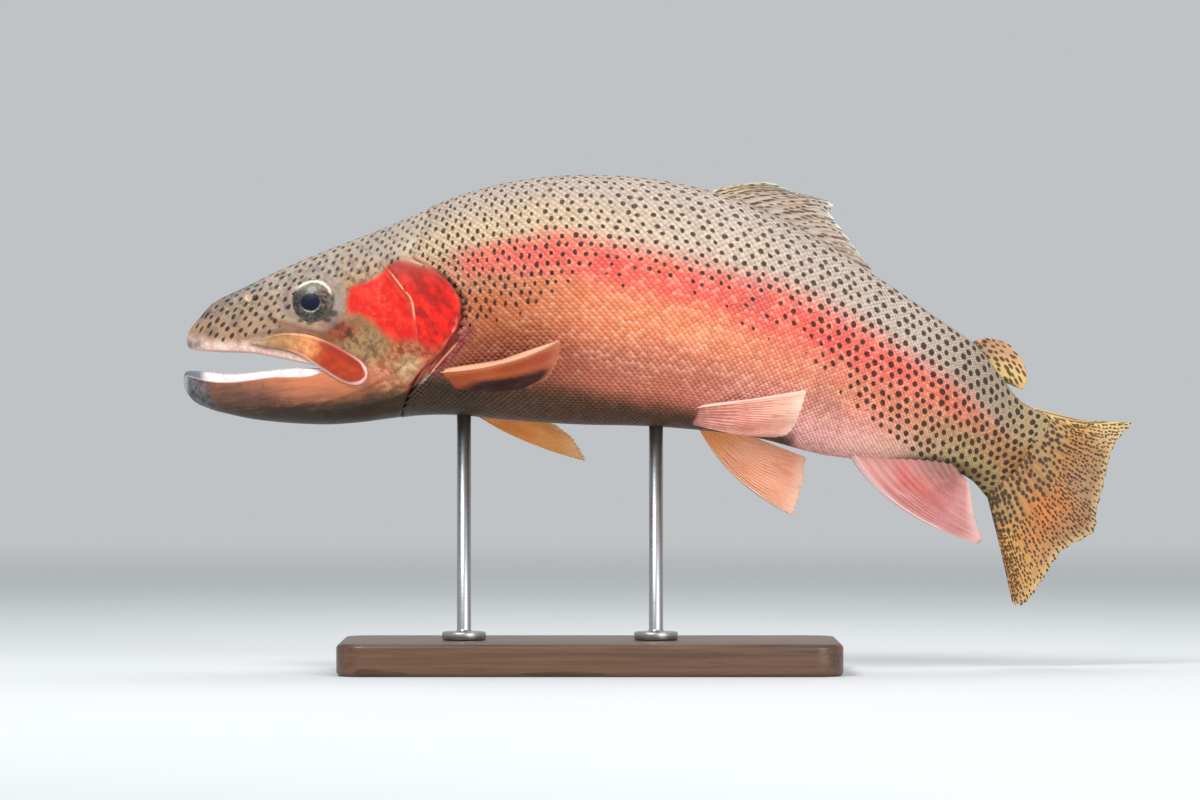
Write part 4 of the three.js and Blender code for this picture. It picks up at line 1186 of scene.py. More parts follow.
eye = {"radius": 12.5, "bulge": 6, "depth": 3.6, "rings": 40, "segments": 64,
       "pupil": 4.4, "pupilFore": 0.5, "pupilDrop": 1.3}


# The way that the cheek faces at a place on its right side
def outOfCheek(x, z):
    step = 6
    across = (cheek(x + step, z) - cheek(x - step, z)) / (2 * step)
    upwards = (cheek(x, z + step) - cheek(x, z - step)) / (2 * step)
    return unit(np.array([-float(across), 1, -float(upwards)]))


def paintEye(tree):
    fore, up, _ = tree.parts(tree.attribute("eyeLay"))
    edge = (fore * fore + up * up) ** 0.5
    fore, up = fore - eye["pupilFore"], up + eye["pupilDrop"]
    away = (fore * fore + up * up) ** 0.5
    where = tree.here()
    mottle = tree.noise(where, 0.0016, 5, 0.65)
    patches = tree.noise(where, 0.0042, 3, 0.6)
    iris = tree.mix(mottle.ease(0.4, 0.6), (38, 40, 38), (104, 98, 84))
    iris = tree.mix(fore.ease(1, 7) * 0.5, iris, (56, 56, 62))
    iris = tree.mix(patches.ease(0.42, 0.56) * fore.ease(-1, -5) * 0.7, iris, (96, 44, 48))
    iris = tree.mix(up.ease(4.6, 8.2) * mottle.ease(0.64, 0.46) * 0.7, iris, (150, 140, 124))
    bar = up.hump(-0.6, 3.4) * away.ease(4.6, 6.5) * mottle.ease(0.62, 0.45)
    iris = tree.mix(bar * 0.85, iris, (24, 26, 28))
    glint = away.hump(eye["pupil"] + 0.4, 0.6) * (up * -0.2 - 0.1).sum("MAXIMUM", 0.0)
    iris = tree.mix(glint * mottle.ease(0.34, 0.56), iris, (176, 172, 160))
    iris = tree.mix(edge.ease(7.8, 9.8) * 0.7, iris,
                    tree.mix(patches.ease(0.4, 0.6), (38, 40, 36), (96, 86, 84)))
    # a pale, mottled crescent over the iris: a painted highlight on the eye's upper rim
    crescentHighlight = (edge + patches * 2.8).hump(11.4, 1.5) * (up - fore * 0.12).ease(4.2, 8.2)
    iris = tree.mix(crescentHighlight * 0.95, iris, (232, 228, 206))
    notch = ((fore - 0.8) * (fore - 0.8) + up * up * 1.1) ** 0.5
    pupil = away.sum("MINIMUM", notch).ease(eye["pupil"] + 0.2, eye["pupil"] - 0.2)
    colour = tree.mix(pupil, iris, tree.mix((up * 0.6 - fore).ease(-4, 4), (3, 16, 28), (8, 12, 38)))
    return {"Base Color": colour, "Roughness": 0.25 + mottle * 0.1, "Bump": (mottle - pupil * 1.5, 0.5, 0.3)}


def buildEye(side, eyeMaterial):
    out = outOfCheek(*eyePlace)
    centre = np.array([eyePlace[0], float(cheek(*eyePlace)), eyePlace[1] + axisDatum]) - out * eye["depth"]
    fore = unit(np.cross(out, [0, 0, 1.0]))
    up = np.cross(fore, out)
    polar = np.linspace(0.012, math.pi - 0.012, eye["rings"])
    turn = np.arange(eye["segments"]) * 2 * math.pi / eye["segments"]
    radius = eye["radius"] * np.sin(polar)[:, None]
    local = np.stack([radius * np.cos(turn), radius * np.sin(turn),
                      np.broadcast_to(eye["bulge"] * np.cos(polar)[:, None], (len(polar), len(turn)))], -1)
    points, faces = loft(centre + local @ np.stack([fore, up, out]))
    flat = np.concatenate([local.reshape(-1, 3), local[:1].mean(1), local[-1:].mean(1)])
    flat[:, 0] = np.where(fore[0] > 0, -flat[:, 0], flat[:, 0])
    points[:, 1] *= side
    return show("eye_" + ("right" if side > 0 else "left") + "_glossy", points, facedOut(points, faces),
                eyeMaterial, {"eyeLay": flat})


wetEye = material("wet_eye", paintEye, coat_weight=0.3, coat_roughness=0.02, coat_ior=1.35,
                  specular_ior_level=0.2)
for side, name in ((-1, "eye_left"), (1, "eye_right")):
    piece = buildEye(side, wetEye)
    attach(piece, "root")
    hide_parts(name)
print("the eyes are in")

jawBone = {                        # rows: x, z and half the width
    "rows": [(-193, 28.3, 0.7), (-186, 28.8, 2.6), (-177.5, 29.3, 4), (-168, 27.6, 5.3), (-160, 24.2, 6.4),
             (-152, 19.6, 7), (-145, 15.4, 7), (-140, 13.1, 6), (-137, 12.2, 4.2), (-135.5, 11.8, 1.6)],
    "thickness": 1.6, "gap": 0.3, "under": -2, "along": 90, "across": 27,
}


def paintBone(tree):
    along, across, _ = tree.parts(tree.attribute("boneLay"))
    where = tree.here()
    mottle = tree.noise(where, 0.004, 4, 0.6)
    body = tree.ramp(along, [
        (0.0, (180, 150, 126)), (0.2, (172, 130, 86)), (0.46, (232, 152, 96)), (0.64, (174, 54, 20)),
        (1.0, (186, 66, 24))])
    body = tree.mix(mottle.ease(0.44, 0.62) * 0.45, body,
                    tree.mix(along.ease(0.3, 0.6), (126, 88, 44), (136, 34, 14)))
    body = tree.mix(across.ease(0.1, 0.7) * along.ease(0.45, 0.6) * 0.6, body, (140, 34, 22))
    end = ((along - 0.87) * 7.7).sum("MAXIMUM", 0.0)
    rimHighlight = (across * across + end * end) ** 0.5
    inner = rimHighlight.hump(0.66, 0.16)
    rimHighlight = rimHighlight.ease(0.79, 0.98)
    lower = (across.ease(0.2, -0.6) + along.ease(0.7, 1.0)).sum("MINIMUM", 1.0) * 0.7 + 0.3
    # painted highlight along the bone's raised edge, strongest low down and fading towards the front
    colour = tree.mix(rimHighlight * lower * along.ease(0.12, 0.5) * 0.92, body, (232, 190, 180))
    colour = tree.mix(inner * 0.35, colour, (150, 50, 34))
    return {"Base Color": colour, "Roughness": 0.3 + mottle * 0.15, "Bump": (mottle, 0.2, 0.3)}


def buildJawBone(side, boneMaterial):
    rows = np.array(jawBone["rows"], float)
    length = np.concatenate([[0], np.cumsum(np.hypot(*np.diff(rows[:, :2], axis=0).T))])
    at = length[-1] * np.linspace(0, 1, jawBone["along"])
    x, z, half = smoothThrough(length, rows, at).T
    slope = unit(np.gradient(np.stack([x, z], -1), axis=0))
    t = np.linspace(1, -1, jawBone["across"])
    px = x[:, None] - slope[:, 1:] * half[:, None] * t
    pz = z[:, None] + slope[:, :1] * half[:, None] * t
    seat = np.maximum(cheek(px, pz), cheek(px, np.maximum(pz, 17)) - 1) + jawBone["gap"]
    crown = jawBone["thickness"] * (1 - 0.7 * t**4)
    crown = crown + 0.22 * hump(np.abs(t), 0.86, 0.14) - 0.25 * hump(t, 0.25, 0.3)
    top = np.stack([px, side * (seat + crown), pz + axisDatum], -1)
    under = np.stack([px, side * (seat + jawBone["under"]), pz + axisDatum], -1)[:, ::-1]
    points, faces = loft(np.concatenate([top, under], 1))
    one = np.stack(np.broadcast_arrays(np.linspace(0, 1, len(at))[:, None], t[None, :], 0.0), -1)
    lay = np.concatenate([one, one[:, ::-1]], 1).reshape(-1, 3)
    lay = np.concatenate([lay, lay[:1], lay[-1:]])
    return show("jaw_bone_" + ("right" if side > 0 else "left") + "_plate", points, faces, boneMaterial,
                {"boneLay": lay})


wetBone = material("jaw_bone", paintBone, coat_weight=0.12, coat_roughness=0.12, specular_ior_level=0.3)
for side, name in ((-1, "jaw_bone_left"), (1, "jaw_bone_right")):
    piece = buildJawBone(side, wetBone)
    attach(piece, "root")
    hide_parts(name)

tongue = {                         # rows: s, half the width and half the thickness
    "rows": [(26, 1, 0.8), (28, 3.4, 1.6), (34, 4.8, 2.4), (46, 5.6, 3), (58, 5.4, 3), (67, 4.6, 2.6)],
    "under": -7.6, "steps": 48, "sides": 40,
}


def paintTongue(tree):
    where = tree.here()
    mottle = tree.noise(where, 0.003, 4)
    pimples = tree.add("ShaderNodeTexVoronoi", None, {"Vector": where, "Scale": 1100.0}).out("Distance")
    colour = tree.mix(mottle.ease(0.3, 0.7), (214, 178, 172), (176, 150, 158))
    return {"Base Color": colour, "Roughness": 0.3 + mottle * 0.1, "Bump": (pimples, 0.4, 0.3)}


def buildTongue():
    rows = np.array(tongue["rows"], float)
    s, half, thick = smoothThrough(rows[:, 0], rows, np.linspace(rows[0, 0], rows[-1, 0], tongue["steps"])).T
    turn = np.arange(tongue["sides"]) * 2 * math.pi / tongue["sides"]
    furrow = 0.35 * hump(np.sin(turn), 0, 0.22) * (np.cos(turn) > 0)
    h = (curveAt(lowerLip, s) + tongue["under"])[:, None] + thick[:, None] * (np.cos(turn) - furrow)
    points, faces = loft(place(s[:, None], half[:, None] * np.sin(turn), h))
    return show("tongue_soft", points, faces,
                material("tongue", paintTongue, coat_weight=0.5, coat_roughness=0.08))


piece = buildTongue()
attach(piece, "root")
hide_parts("tongue")

teeth = {
    "length": 1.3, "radius": 0.42, "tip": 0.04, "step": 1.75, "lean": 0.5, "sides": 7, "seed": 5,
    "smallest": 0.65, "largest": 1.1,
    "lowerInset": 2.6, "lowerSunk": 0.35, "upperInset": 2.3, "upperRaise": 0.9, "from": 12, "to": 61,
}


def paintTooth(tree):
    where = tree.here()
    mottle = tree.noise(where, 0.0008, 2)
    return {"Base Color": tree.mix(mottle, (240, 236, 226), (226, 216, 196)), "Roughness": 0.2 + mottle * 0.1}


# Where the teeth stand and which way they point, along both jaws
def toothRoots():
    places, ways = [], []
    for lip, width, inset, raised, up in (
            (lowerLip, lowerWidth, teeth["lowerInset"], -teeth["lowerSunk"], 1),
            (upperLip, upperWidth, teeth["upperInset"], teeth["upperRaise"], -1)):
        s = np.arange(teeth["from"] + (0 if up > 0 else 1), teeth["to"], teeth["step"])
        half = curveAt(width, s)
        for side in (-1, 1):
            y = side * (half - inset * np.minimum(1, half / skin["fullInset"]))
            places.append(place(s, y, curveAt(lip, s) + raised))
            ways.append(unit(np.stack([teeth["lean"] + 0 * s, -side * teeth["lean"] * 0.5 + 0 * s,
                                       up + 0 * s], -1)))
    return np.concatenate(places), np.concatenate(ways)


def toothTree(enamel, sizes):
    group, tree, given = newGrowth("set_teeth", sizes)
    cone = tree.add("GeometryNodeMeshCone", None, {
        "Vertices": teeth["sides"], "Radius Top": teeth["tip"] * mm,
        "Radius Bottom": given.out("Radius"), "Depth": given.out("Length")})
    turn = tree.add("FunctionNodeAlignRotationToVector", {"axis": "Z"}, {"Vector": tree.rooted("way")})
    whole = instances(tree, given, cone.out("Mesh"), turn.out(), varied(tree, given))
    return finished(group, tree, whole, enamel)


toothSizes = {"Length": teeth["length"] * mm, "Radius": teeth["radius"] * mm, "Smallest": teeth["smallest"],
              "Largest": teeth["largest"], "Seed": teeth["seed"]}
toothPlaces, toothWays = toothRoots()
enamel = material("tooth_enamel", paintTooth, coat_weight=0.5, coat_roughness=0.05)
piece = grow("teeth_fine", toothPlaces, {"way": toothWays}, toothTree(enamel, toothSizes), toothSizes)
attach(piece, "root")
print("jaw bones, tongue and teeth are in")

axisByX = [(x, s) for s, x in axisX]


# Rays drawn from the side, laid in the plane that the fish's axis sweeps through
def onMiddle(rays):
    def swept(x):
        return sweepTail * max(0, (float(curveAt(axisByX, x)) - sweepStart) / (tailEnd - sweepStart)) ** 3

    return [[(x, swept(x), z) for x, z in ray] for ray in rays]


# Each ray is its root, the point it bends towards and its tip. soft counts the fin's rays, root is about half
# the fin's thickness at its root, and notch is how deep its edge is cut, as a share of its length.
fins = {
    "fin_dorsal": {
        "root": 1.5, "soft": 12, "notch": 0.055, "paint": "dorsal", "slot": "fin_spotted",
        "rays": onMiddle([[(22, 99), (42, 109.5), (68, 108.8)], [(32, 97.5), (58, 110), (80, 103)],
                          [(44, 94), (75, 105.5), (96, 99)], [(60, 88), (84, 96), (97, 92)],
                          [(76, 80), (95, 87), (105, 80)], [(96, 69), (110, 72), (117.5, 64)]]),
    },
    "fin_adipose": {
        "root": 2.2, "soft": 9, "notch": 0, "paint": "adipose", "slot": "fin_spotted",
        "rays": onMiddle([[(165, 26), (172, 35.5), (187, 27.8)], [(168, 22), (180, 28), (193.5, 19.5)],
                          [(172, 16), (184, 20), (196, 10.5)], [(176, 9), (185, 12), (193.5, 5)]]),
    },
    "fin_anal": {
        "root": 1.7, "soft": 12, "notch": 0.01, "paint": "anal", "slot": "fin_pink",
        "rays": onMiddle([[(102, -22), (118, -56), (171, -73)], [(117, -24), (135, -52), (173, -69.5)],
                          [(131, -26), (145, -48), (169, -60)], [(145, -28), (152, -44), (167.5, -50)],
                          [(157, -30), (160, -38), (165.5, -41.5)]]),
    },
    "fin_caudal": {
        "root": 1.8, "soft": 19, "notch": 0.017, "paint": "caudal", "slot": "fin_spotted",
        "rays": [[(198, 32, -3.8), (219, 43.5, -14.8), (253, 66, -11.5)],
                 [(199, 32, -12), (225, 43, -20), (242.5, 62, -23.5)],
                 [(198, 32, -18), (220, 42, -29), (237.5, 58, -39)],
                 [(196.5, 31.5, -25), (216, 41, -40), (233, 54, -55.5)],
                 [(193, 31, -31), (211, 40, -50), (231, 51, -67.5)],
                 [(188, 31, -37.5), (203, 40, -60), (215, 50, -77)],
                 [(182, 30.5, -42), (193, 40, -70), (206, 50, -90)],
                 [(178, 30, -45), (187, 40, -75), (197, 51, -103)],
                 [(175, 29.5, -46.5), (183, 40, -72.5), (190, 52, -105)]],
    },
    "fin_pelvic_left": {
        "root": 1.2, "soft": 10, "notch": 0.01, "paint": "pelvicLeft", "slot": "fin_pink",
        "rays": [[(24, -14, -3), (50, -29, -1), (82.5, -34, 5)],
                 [(25, -12, -6), (52, -27, -7), (79, -33, -7)],
                 [(26, -10, -9), (50, -23, -14), (74.5, -28, -15.5)],
                 [(27, -8, -12), (44, -18, -18), (67, -22, -18.8)]],
    },
    "fin_pelvic_right": {
        "root": 1.2, "soft": 10, "notch": 0.01, "paint": "pelvicRight", "slot": "fin_orange",
        "rays": [[(27, 8, -9), (42, 20, -42), (77.5, 27, -58.5)],
                 [(30, 7.5, -9), (48, 18, -38), (81, 25, -47)],
                 [(33, 7, -9), (54, 16, -30), (83, 22, -36)],
                 [(36, 6, -9), (60, 13, -21), (83.5, 18, -28.5)]],
    },
    "fin_pectoral_left": {
        "root": 1.1, "soft": 13, "notch": 0.016, "paint": "pectoralLeft", "slot": "fin_orange",
        "rays": [[(-104.5, -21, 14.5), (-68, -43, 14.6), (-39.5, -56, 29.5)],
                 [(-101, -21, 12), (-70, -39, 10.2), (-39.5, -48, 23)],
                 [(-97.5, -20, 9.4), (-72, -34, 5.6), (-44, -41, 12.8)],
                 [(-94, -19, 6.8), (-76, -29, 2), (-55, -35, 6)]],
    },
    "fin_pectoral_right": {
        "root": 1.1, "soft": 13, "notch": 0.016, "paint": "pectoralRight", "slot": "fin_orange",
        "rays": [[(-107, 21, 13), (-76, 36, -20), (-26.5, 47, -31)],
                 [(-103.5, 20.5, 11), (-72, 34, -15), (-29, 43.5, -26.5)],
                 [(-100, 20, 9), (-69, 31, -9), (-33, 39, -20)],
                 [(-96, 19, 7), (-66, 28, -3.5), (-42, 35, -12.5)]],
    },
}
finEdge = {
    "membrane": 0.13, "ray": 0.3, "rayRoot": 0.5,      # half their thickness in mm, at the ray's tip and root
    "steps": 46, "perRay": 13,
}


# How high the rays stand, from 0 to 1: each forks in two and then in four on its way out.
def ridgeOf(phase, u):
    one, two, four = ((0.5 - 0.5 * np.cos(2 * math.pi * phase * times)) ** 1.4 for times in (1, 2, 4))
    forked, forkedTwice = ease(0.36, 0.52, u), ease(0.7, 0.82, u)
    return (1 - forked) * one + forked * (1 - forkedTwice) * two + forkedTwice * four


# The fin's middle surface: u runs out along the rays and v from the leading edge to the last ray.
def finPlace(rays, u, v):
    root, bend, tip = (np.array([ray[i] for ray in rays], float) + [0, 0, axisDatum] for i in range(3))
    along = u[..., None]
    at = np.linspace(0, 1, len(rays))
    a, b, c = (smoothThrough(at, points, v.ravel()).reshape(v.shape + (3,)) for points in (root, bend, tip))
    return a * (1 - along) ** 2 + 2 * b * along * (1 - along) + c * along**2


def buildFin(name, fin, finMaterial):
    soft = fin["soft"]
    v = np.linspace(0, 1, soft * finEdge["perRay"] + 1)
    steps = np.linspace(0, 1, finEdge["steps"]) ** 0.9
    plain = fin["paint"] == "adipose"
    phase = v * soft
    ragged = 0.4 * np.sin(phase * 1.7 + 1) + 0.3 * np.sin(phase * 4.3)
    notch = fin["notch"] * (1.2 - ridgeOf(phase, np.full(len(v), 0.3)) ** 0.6 + 0.35 * ragged)
    u = steps * (1 - notch[:, None])
    v = np.broadcast_to(v[:, None], u.shape)
    p = finPlace(fin["rays"], u, v)
    du = finPlace(fin["rays"], np.minimum(u + 0.01, 1.01), v) - finPlace(fin["rays"], u - 0.01, v)
    dv = finPlace(fin["rays"], u, np.minimum(v + 0.01, 1)) - finPlace(fin["rays"], u, np.maximum(v - 0.01, 0))
    out = unit(np.cross(du, dv))
    if not plain:
        p = p + out * (0.45 * np.sin(2 * math.pi * (v * 2.2 + u * 1.1)) * u)[..., None]
    ridge = 0 if plain else ridgeOf(v * soft, u)
    ray = finEdge["rayRoot"] + (finEdge["ray"] - finEdge["rayRoot"]) * u
    root = (fin["root"] - 0.4) * np.maximum(0, 1 - u / 0.55) ** 2
    half = finEdge["membrane"] + ridge * ray + root
    if plain:
        half = finEdge["ray"] + fin["root"] * (1 - u**1.5) * 0.8
    half = half * (1 - 0.65 * np.abs(2 * v - 1) ** 24) * (1 + 0.5 * ease(1.2, 0.3, v * soft))
    top, under = p + out * half[..., None], p - out * half[..., None]
    points, faces = loft(np.concatenate([top, under[:, ::-1]], 1))
    length = np.linalg.norm(np.diff(p, axis=1), axis=2).sum(1, keepdims=True)
    lay = np.stack([u * length, v * soft, u], -1)
    wide = np.linalg.norm(np.gradient(p, axis=0), axis=2) * finEdge["perRay"]
    lay, wide = (np.concatenate([both, both[:, ::-1]], 1) for both in (lay, wide))
    lay, wide = lay.reshape(-1, 3), wide.ravel()
    return show(name + "_rayed", points, faces, finMaterial, {
        "finLay": np.concatenate([lay, lay[:1], lay[-1:]]), "rayWidth": np.append(wide, [wide[0], wide[-1]])})


# The rays as lines that fork twice, where the ridges do
def rayLines(phase, u):
    def line(times):
        return 1 - ((phase * times).sum("FRACT") - 0.5).sum("ABSOLUTE") * 2

    two, four = u.ease(0.36, 0.52), u.ease(0.7, 0.82)
    return line(1.0) * (1 - two) + line(2.0) * two * (1 - four) + line(4.0) * four


# Dark dashes along the rays. step, long and wide are in mm, and lanes counts the rows of dashes on each ray.
def dashes(tree, along, phase, rayWidth, step, lanes, long, wide, seed):
    cells = tree.add("ShaderNodeTexVoronoi", {"voronoi_dimensions": "2D"}, {
        "Vector": tree.vector(along / step + seed, phase * lanes, 0), "Scale": 1.0, "Randomness": 0.6})
    cellAlong, cellPhase, _ = tree.parts(cells.out("Position"))
    luckA, luckB, _ = tree.parts(cells.out("Color"))
    offAlong = (along - (cellAlong - seed) * step) / long
    offAcross = (phase - cellPhase / lanes) * rayWidth / wide
    away = (offAlong ** 2 + offAcross ** 2) ** 0.5
    return (0.75 + luckA * 0.5 - away).ease(-0.3, 0.25) * (luckB < 0.93)


# Each fin's colours at its root, middle and tip, those of its rays, leading edge and margin, and its dashes
finPaints = {
    "pectoralLeft": {"tones": [(184, 92, 42), (206, 104, 56), (206, 106, 66)], "ray": (190, 90, 52),
                     "lead": (240, 184, 152), "margin": (214, 134, 96)},
    # the far pectoral is painted at full brightness: painted light, for the light that shines through the fin
    "pectoralRight": {"tones": [(255, 168, 92), (255, 180, 102), (255, 190, 112)], "ray": (236, 140, 74),
                      "lead": (255, 214, 166), "margin": (255, 216, 170)},
    "pelvicLeft": {"tones": [(208, 134, 120), (232, 152, 136), (246, 180, 156)], "ray": (206, 116, 100),
                   "lead": (250, 206, 190), "margin": (250, 206, 190)},
    "pelvicRight": {"tones": [(255, 174, 100), (255, 184, 146), (252, 180, 148)], "ray": (240, 140, 100),
                    "lead": (252, 204, 176), "margin": (255, 212, 188)},
    "anal": {"tones": [(206, 142, 134), (184, 108, 102), (206, 144, 142)], "ray": (224, 168, 164),
             "lead": (240, 204, 194), "margin": (240, 206, 200)},
    "dorsal": {"tones": [(170, 152, 140), (164, 143, 125), (184, 176, 158)], "ray": (206, 194, 178),
               "lead": (206, 186, 150), "margin": (236, 234, 226),
               "dash": (84, 58, 44), "dashes": [(3.1, 1.35, 1.15, 0.95, 0)]},
    "adipose": {"tones": [(156, 126, 102), (190, 142, 108), (204, 158, 112)], "ray": (190, 146, 104),
                "lead": (178, 130, 100), "margin": (216, 176, 112),
                "dash": (56, 38, 28), "dashes": [(4.1, 0.75, 1.25, 1.2, 3)]},
    "caudal": {"tones": [(170, 136, 92), (170, 110, 56), (182, 142, 94)], "ray": (218, 168, 106),
               "lead": (236, 196, 132), "margin": (222, 192, 142),
               "dash": (54, 38, 28), "dashes": [(3.1, 1.1, 1.35, 1.0, 7), (2.2, 2.4, 0.95, 0.56, 15)]},
}


def paintFin(kind):
    paints = finPaints[kind]

    def paint(tree):
        along, phase, u = tree.parts(tree.attribute("finLay"))
        rayWidth = tree.attribute("rayWidth", "Fac")
        where = tree.here()
        cloud, mottle = tree.noise(where, 0.012, 3, 0.55), tree.noise(where, 0.003, 4, 0.6)
        lines = rayLines(phase, u) if kind != "adipose" else mottle
        root, middle, tip = paints["tones"]
        colour = tree.ramp(u + (cloud - 0.5) * 0.15, [(0.0, root), (0.16, root), (0.5, middle), (1.0, tip)])
        if kind == "caudal":
            fold = (phase + (cloud - 0.5) * 6).hump(11, 4.2) * u.ease(0.1, 0.35) * u.ease(0.95, 0.55)
            colour = tree.mix(fold * 0.85, colour, (206, 106, 40))
            grey = (phase + (cloud - 0.5) * 4).hump(6.2, 5) * u.ease(0.35, 0.75)
            colour = tree.mix(grey * 0.85, colour, (140, 116, 94))
            dusk = (phase + (cloud - 0.5) * 6).hump(10, 3.6) * u.ease(0.6, 0.9)
            colour = tree.mix(dusk * 0.7, colour, (128, 92, 78))
            streak = tree.noise(tree.vector(phase * 1.1, along * 0.05, 2), 1, 3, 0.6)
            colour = tree.mix(streak.ease(0.52, 0.66) * u.ease(0.05, 0.3) * 0.4, colour, (112, 66, 40))
            gold = (phase.ease(3.6, 0.4) + phase.ease(12, 17)) * u.ease(0.12, 0.5)
            colour = tree.mix(gold * 0.65, colour, (228, 176, 92))
            colour = tree.mix(phase.ease(3.5, 0.8) * u.ease(0.5, 0.9) * 0.85, colour, (246, 220, 168))
            nearBody = tree.ramp(phase / fins["fin_caudal"]["soft"], [
                (0.0, (176, 148, 102)), (0.3, (158, 130, 92)), (0.5, (158, 108, 66)), (0.85, (156, 130, 84))])
            colour = tree.mix((u + (cloud - 0.5) * 0.5).ease(0.4, 0.1), colour, nearBody)
        elif kind == "adipose":
            colour = tree.mix(phase.ease(2.5, 7) * 0.75, colour, (236, 204, 120))
        elif kind == "pectoralLeft":
            colour = tree.mix(phase.ease(3, 1) * 0.6, colour, (240, 160, 110))
            # a dusky band across the middle of the near pectoral: painted shade
            colour = tree.mix((phase + u * 1.5).hump(4.6, 3.4) * u.ease(0.35, 0.7) * 0.7, colour,
                              (176, 68, 36))
            colour = tree.mix((phase + u * 5).ease(5, 2) * u.ease(0.45, 0.1) * 0.5, colour, (232, 150, 84))
        elif kind == "anal":
            streak = tree.noise(tree.vector(phase * 0.9, along * 0.04, 4), 1, 3, 0.6)
            colour = tree.mix(streak.ease(0.5, 0.66) * 0.5, colour, (160, 92, 88))
            colour = tree.mix(streak.ease(0.48, 0.34) * 0.4, colour, (232, 176, 160))
            colour = tree.mix((phase + (cloud - 0.5) * 5).hump(4.6, 3.4) * u.hump(0.32, 0.4) * 0.8, colour,
                              (196, 66, 54))
            rear = (phase + (cloud - 0.5) * 4).ease(5.5, 9) * (u + (mottle - 0.5) * 0.2).ease(0.9, 0.25)
            colour = tree.mix(rear * 0.85, colour, (128, 84, 66))
            colour = tree.mix(u.ease(0.07, 0.0) * phase.ease(9, 3) * 0.8, colour, (236, 180, 172))
        elif kind == "pelvicLeft":
            streak = tree.noise(tree.vector(phase * 0.8, along * 0.05, 6), 1, 3, 0.6)
            colour = tree.mix(cloud.ease(0.38, 0.68) * 0.35, colour, (244, 196, 180))
            colour = tree.mix(streak.ease(0.52, 0.66) * u.ease(0.35, 0.8) * 0.55, colour, (150, 92, 78))
            colour = tree.mix(u.ease(0.16, 0.0) * 0.6, colour, (190, 132, 128))
            colour = tree.mix(phase.ease(4, 1) * u.ease(0.5, 0.95) * 0.6, colour, (255, 206, 168))
        elif kind == "pelvicRight":
            streak = tree.noise(tree.vector(phase * 0.8, along * 0.05, 8), 1, 3, 0.6)
            colour = tree.mix(streak.ease(0.5, 0.66) * u.ease(0.1, 0.5) * 0.45, colour, (206, 112, 74))
            colour = tree.mix(streak.ease(0.46, 0.34) * 0.35, colour, (252, 200, 160))
        elif kind == "dorsal":
            colour = tree.mix(phase.ease(4, 1) * u.hump(0.45, 0.4) * 0.6, colour, (206, 182, 120))
        colour = tree.mix(lines * (0.42 if kind in ("caudal", "dorsal") else 0.26), colour, paints["ray"])
        colour = tree.mix(mottle.ease(0.4, 0.65) * 0.25, colour, tip)
        joints = ((along * 1.35).sum("FRACT") - 0.5).sum("ABSOLUTE").ease(0.42, 0.5) * u.ease(0.15, 0.4)
        colour = tree.mix(joints * lines * 0.25, colour, root)
        colour = tree.mix(phase.ease(0.9, 0.2) * 0.7, colour, paints["lead"])
        colour = tree.mix(u.ease(0.86, 0.98) * (0.9 if kind == "dorsal" else 0.6), colour, paints["margin"])
        if kind == "pectoralLeft":
            # painted shade, nearly black, on the lower rear of the near pectoral
            dark = (phase + (mottle - 0.5) * 1.2).ease(5.4, 8) * (u + phase * 0.02).ease(0.3, 0.56)
            dark = dark * u.ease(1.0, 0.9)
            colour = tree.mix(dark * 0.94, colour, (34, 14, 18))
        rows = paints.get("dashes", [])
        for i, row in enumerate(rows):
            dark = dashes(tree, along, phase, rayWidth, *row) * 0.9
            if len(rows) > 1:
                dark = dark * ((u < 0.4) if i == 0 else (u > 0.4))
            colour = tree.mix(dark, colour, paints["dash"])
        return {"Base Color": colour, "Roughness": 0.42 + mottle * 0.14,
                "Bump": (lines + joints * -0.4 + mottle * 0.3, 0.4, 0.25)}
    return paint


for name, fin in fins.items():
    finMaterial = material("fin_" + fin["paint"], paintFin(fin["paint"]), coat_weight=0.15,
                           coat_roughness=0.2, specular_ior_level=0.3, subsurface_weight=0.12,
                           subsurface_scale=0.003)
    piece = buildFin(name, fin, finMaterial)
    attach(piece, "root")
    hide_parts(name)
print("the fins are on")

stand = {
    "length": 250, "width": 120, "thickness": 16,
    "corner": 14, "bevel": 2.5, "cornerSteps": 13, "bevelSteps": 6,
    "rod": 3.5, "rodX": (-88, 8), "collar": 11, "collarHeight": 4, "gap": 0.3, "intoBelly": 2.5, "sides": 56,
}


def paintWood(tree):
    where = tree.here()
    x, y, z = tree.parts(where)
    bend = (tree.noise(tree.vector(x * 3, y * 8, z * 8), 1, 2) - 0.5) * 0.03
    rings = ((y + bend + z * 0.6 + 0.3) * 62).sum("FRACT")
    grain = tree.noise(tree.vector(x * 14, y * 420, z * 420), 1, 4, 0.6)
    pores = tree.noise(tree.vector(x * 60, y * 1300, z * 1300), 1, 2)
    colour = tree.mix(rings.ease(0.0, 0.9), (94, 62, 40), (60, 38, 25))
    colour = tree.mix(grain.ease(0.35, 0.7) * 0.6, colour, (116, 80, 54))
    colour = tree.mix(pores.ease(0.62, 0.75) * 0.6, colour, (30, 19, 13))
    return {"Base Color": colour, "Roughness": 0.36 + grain * 0.16, "Bump": (grain - pores * 0.6, 0.25, 0.2)}


def paintSteel(tree):
    where = tree.here()
    x, y, z = tree.parts(where)
    brush = tree.noise(tree.vector(x * 90, y * 90, z * 4200), 1, 3, 0.6)
    wear = tree.noise(where, 0.012, 3)
    return {"Base Color": tree.mix(brush, (150, 152, 154), (200, 201, 202)), "Metallic": 1.0,
            "Roughness": 0.24 + brush * 0.16 + wear * 0.06, "Bump": (brush, 0.12, 0.1)}


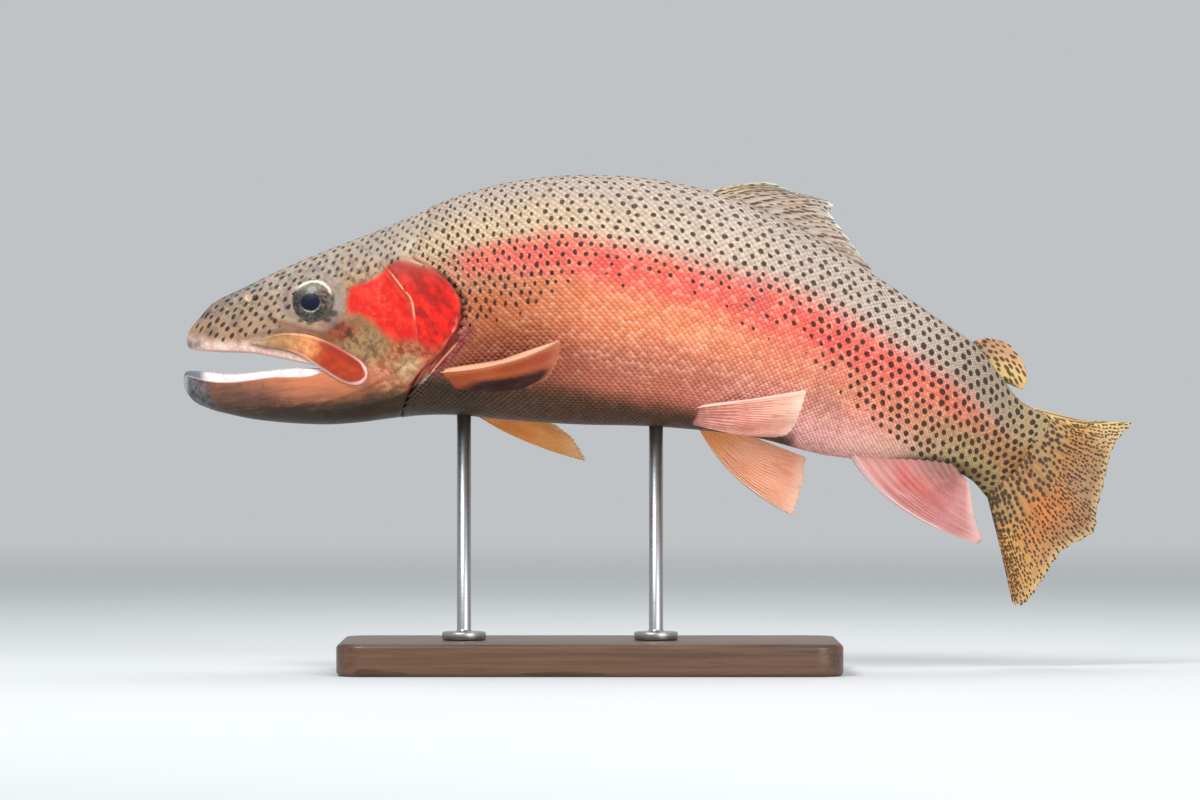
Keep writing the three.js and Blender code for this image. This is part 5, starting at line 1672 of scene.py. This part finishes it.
def buildBase():
    corner = np.linspace(0, math.pi / 2, stand["cornerSteps"])
    r, bevel = stand["corner"], stand["bevel"]
    inX, inY = stand["length"] / 2 - r, stand["width"] / 2 - r
    curl = np.linspace(0, math.pi / 2, stand["bevelSteps"])
    turns = ((1, 1, 0), (-1, 1, math.pi / 2), (-1, -1, math.pi), (1, -1, 1.5 * math.pi))
    profile = [(bevel - bevel * math.sin(a), bevel - bevel * math.cos(a)) for a in curl]
    profile += [(inset, stand["thickness"] - z) for inset, z in profile[::-1]]
    rings = []
    for inset, z in profile:
        outline = [(sx * inX + (r - inset) * math.cos(turn + a), sy * inY + (r - inset) * math.sin(turn + a))
                   for sx, sy, turn in turns for a in corner]
        rings.append([(baseCentre[0] + x, baseCentre[1] + y, z) for x, y in outline])
    points, faces = loft(np.array(rings))
    return show("stand_base_walnut", points, faces,
                material("walnut", paintWood, coat_weight=0.25, coat_roughness=0.25))


def buildRod(name, x, steel):
    s = float(curveAt(axisByX, x))
    top = axisDatum + float(curveAt(axisZ, s) + curveAt(bellyLine, s)) + stand["intoBelly"]
    foot = stand["thickness"] + stand["gap"]
    collar, rod, tall = stand["collar"], stand["rod"], foot + stand["collarHeight"]
    profile = [(collar - 0.4, foot), (collar, foot + 0.4), (collar, tall - 1.2), (collar - 0.15, tall - 0.6),
               (collar - 0.6, tall - 0.15), (collar - 1.2, tall), (rod + 1.2, tall), (rod + 0.4, tall + 0.3),
               (rod, tall + 1.1), (rod, top)]
    turn = np.arange(stand["sides"]) * 2 * math.pi / stand["sides"]
    rings = np.array([np.stack([x + r * np.cos(turn), r * np.sin(turn), 0 * turn + z], -1)
                      for r, z in profile])
    points, faces = loft(rings)
    return show(name + "_brushed", points, faces, steel)


piece = buildBase()
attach(piece, "root")
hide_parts("stand_base")
brushedSteel = material("brushed_steel", paintSteel)
for name, x in zip(("stand_rod_front", "stand_rod_rear"), stand["rodX"]):
    piece = buildRod(name, x, brushedSteel)
    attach(piece, "root")
    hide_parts(name)
print("the stand is up")
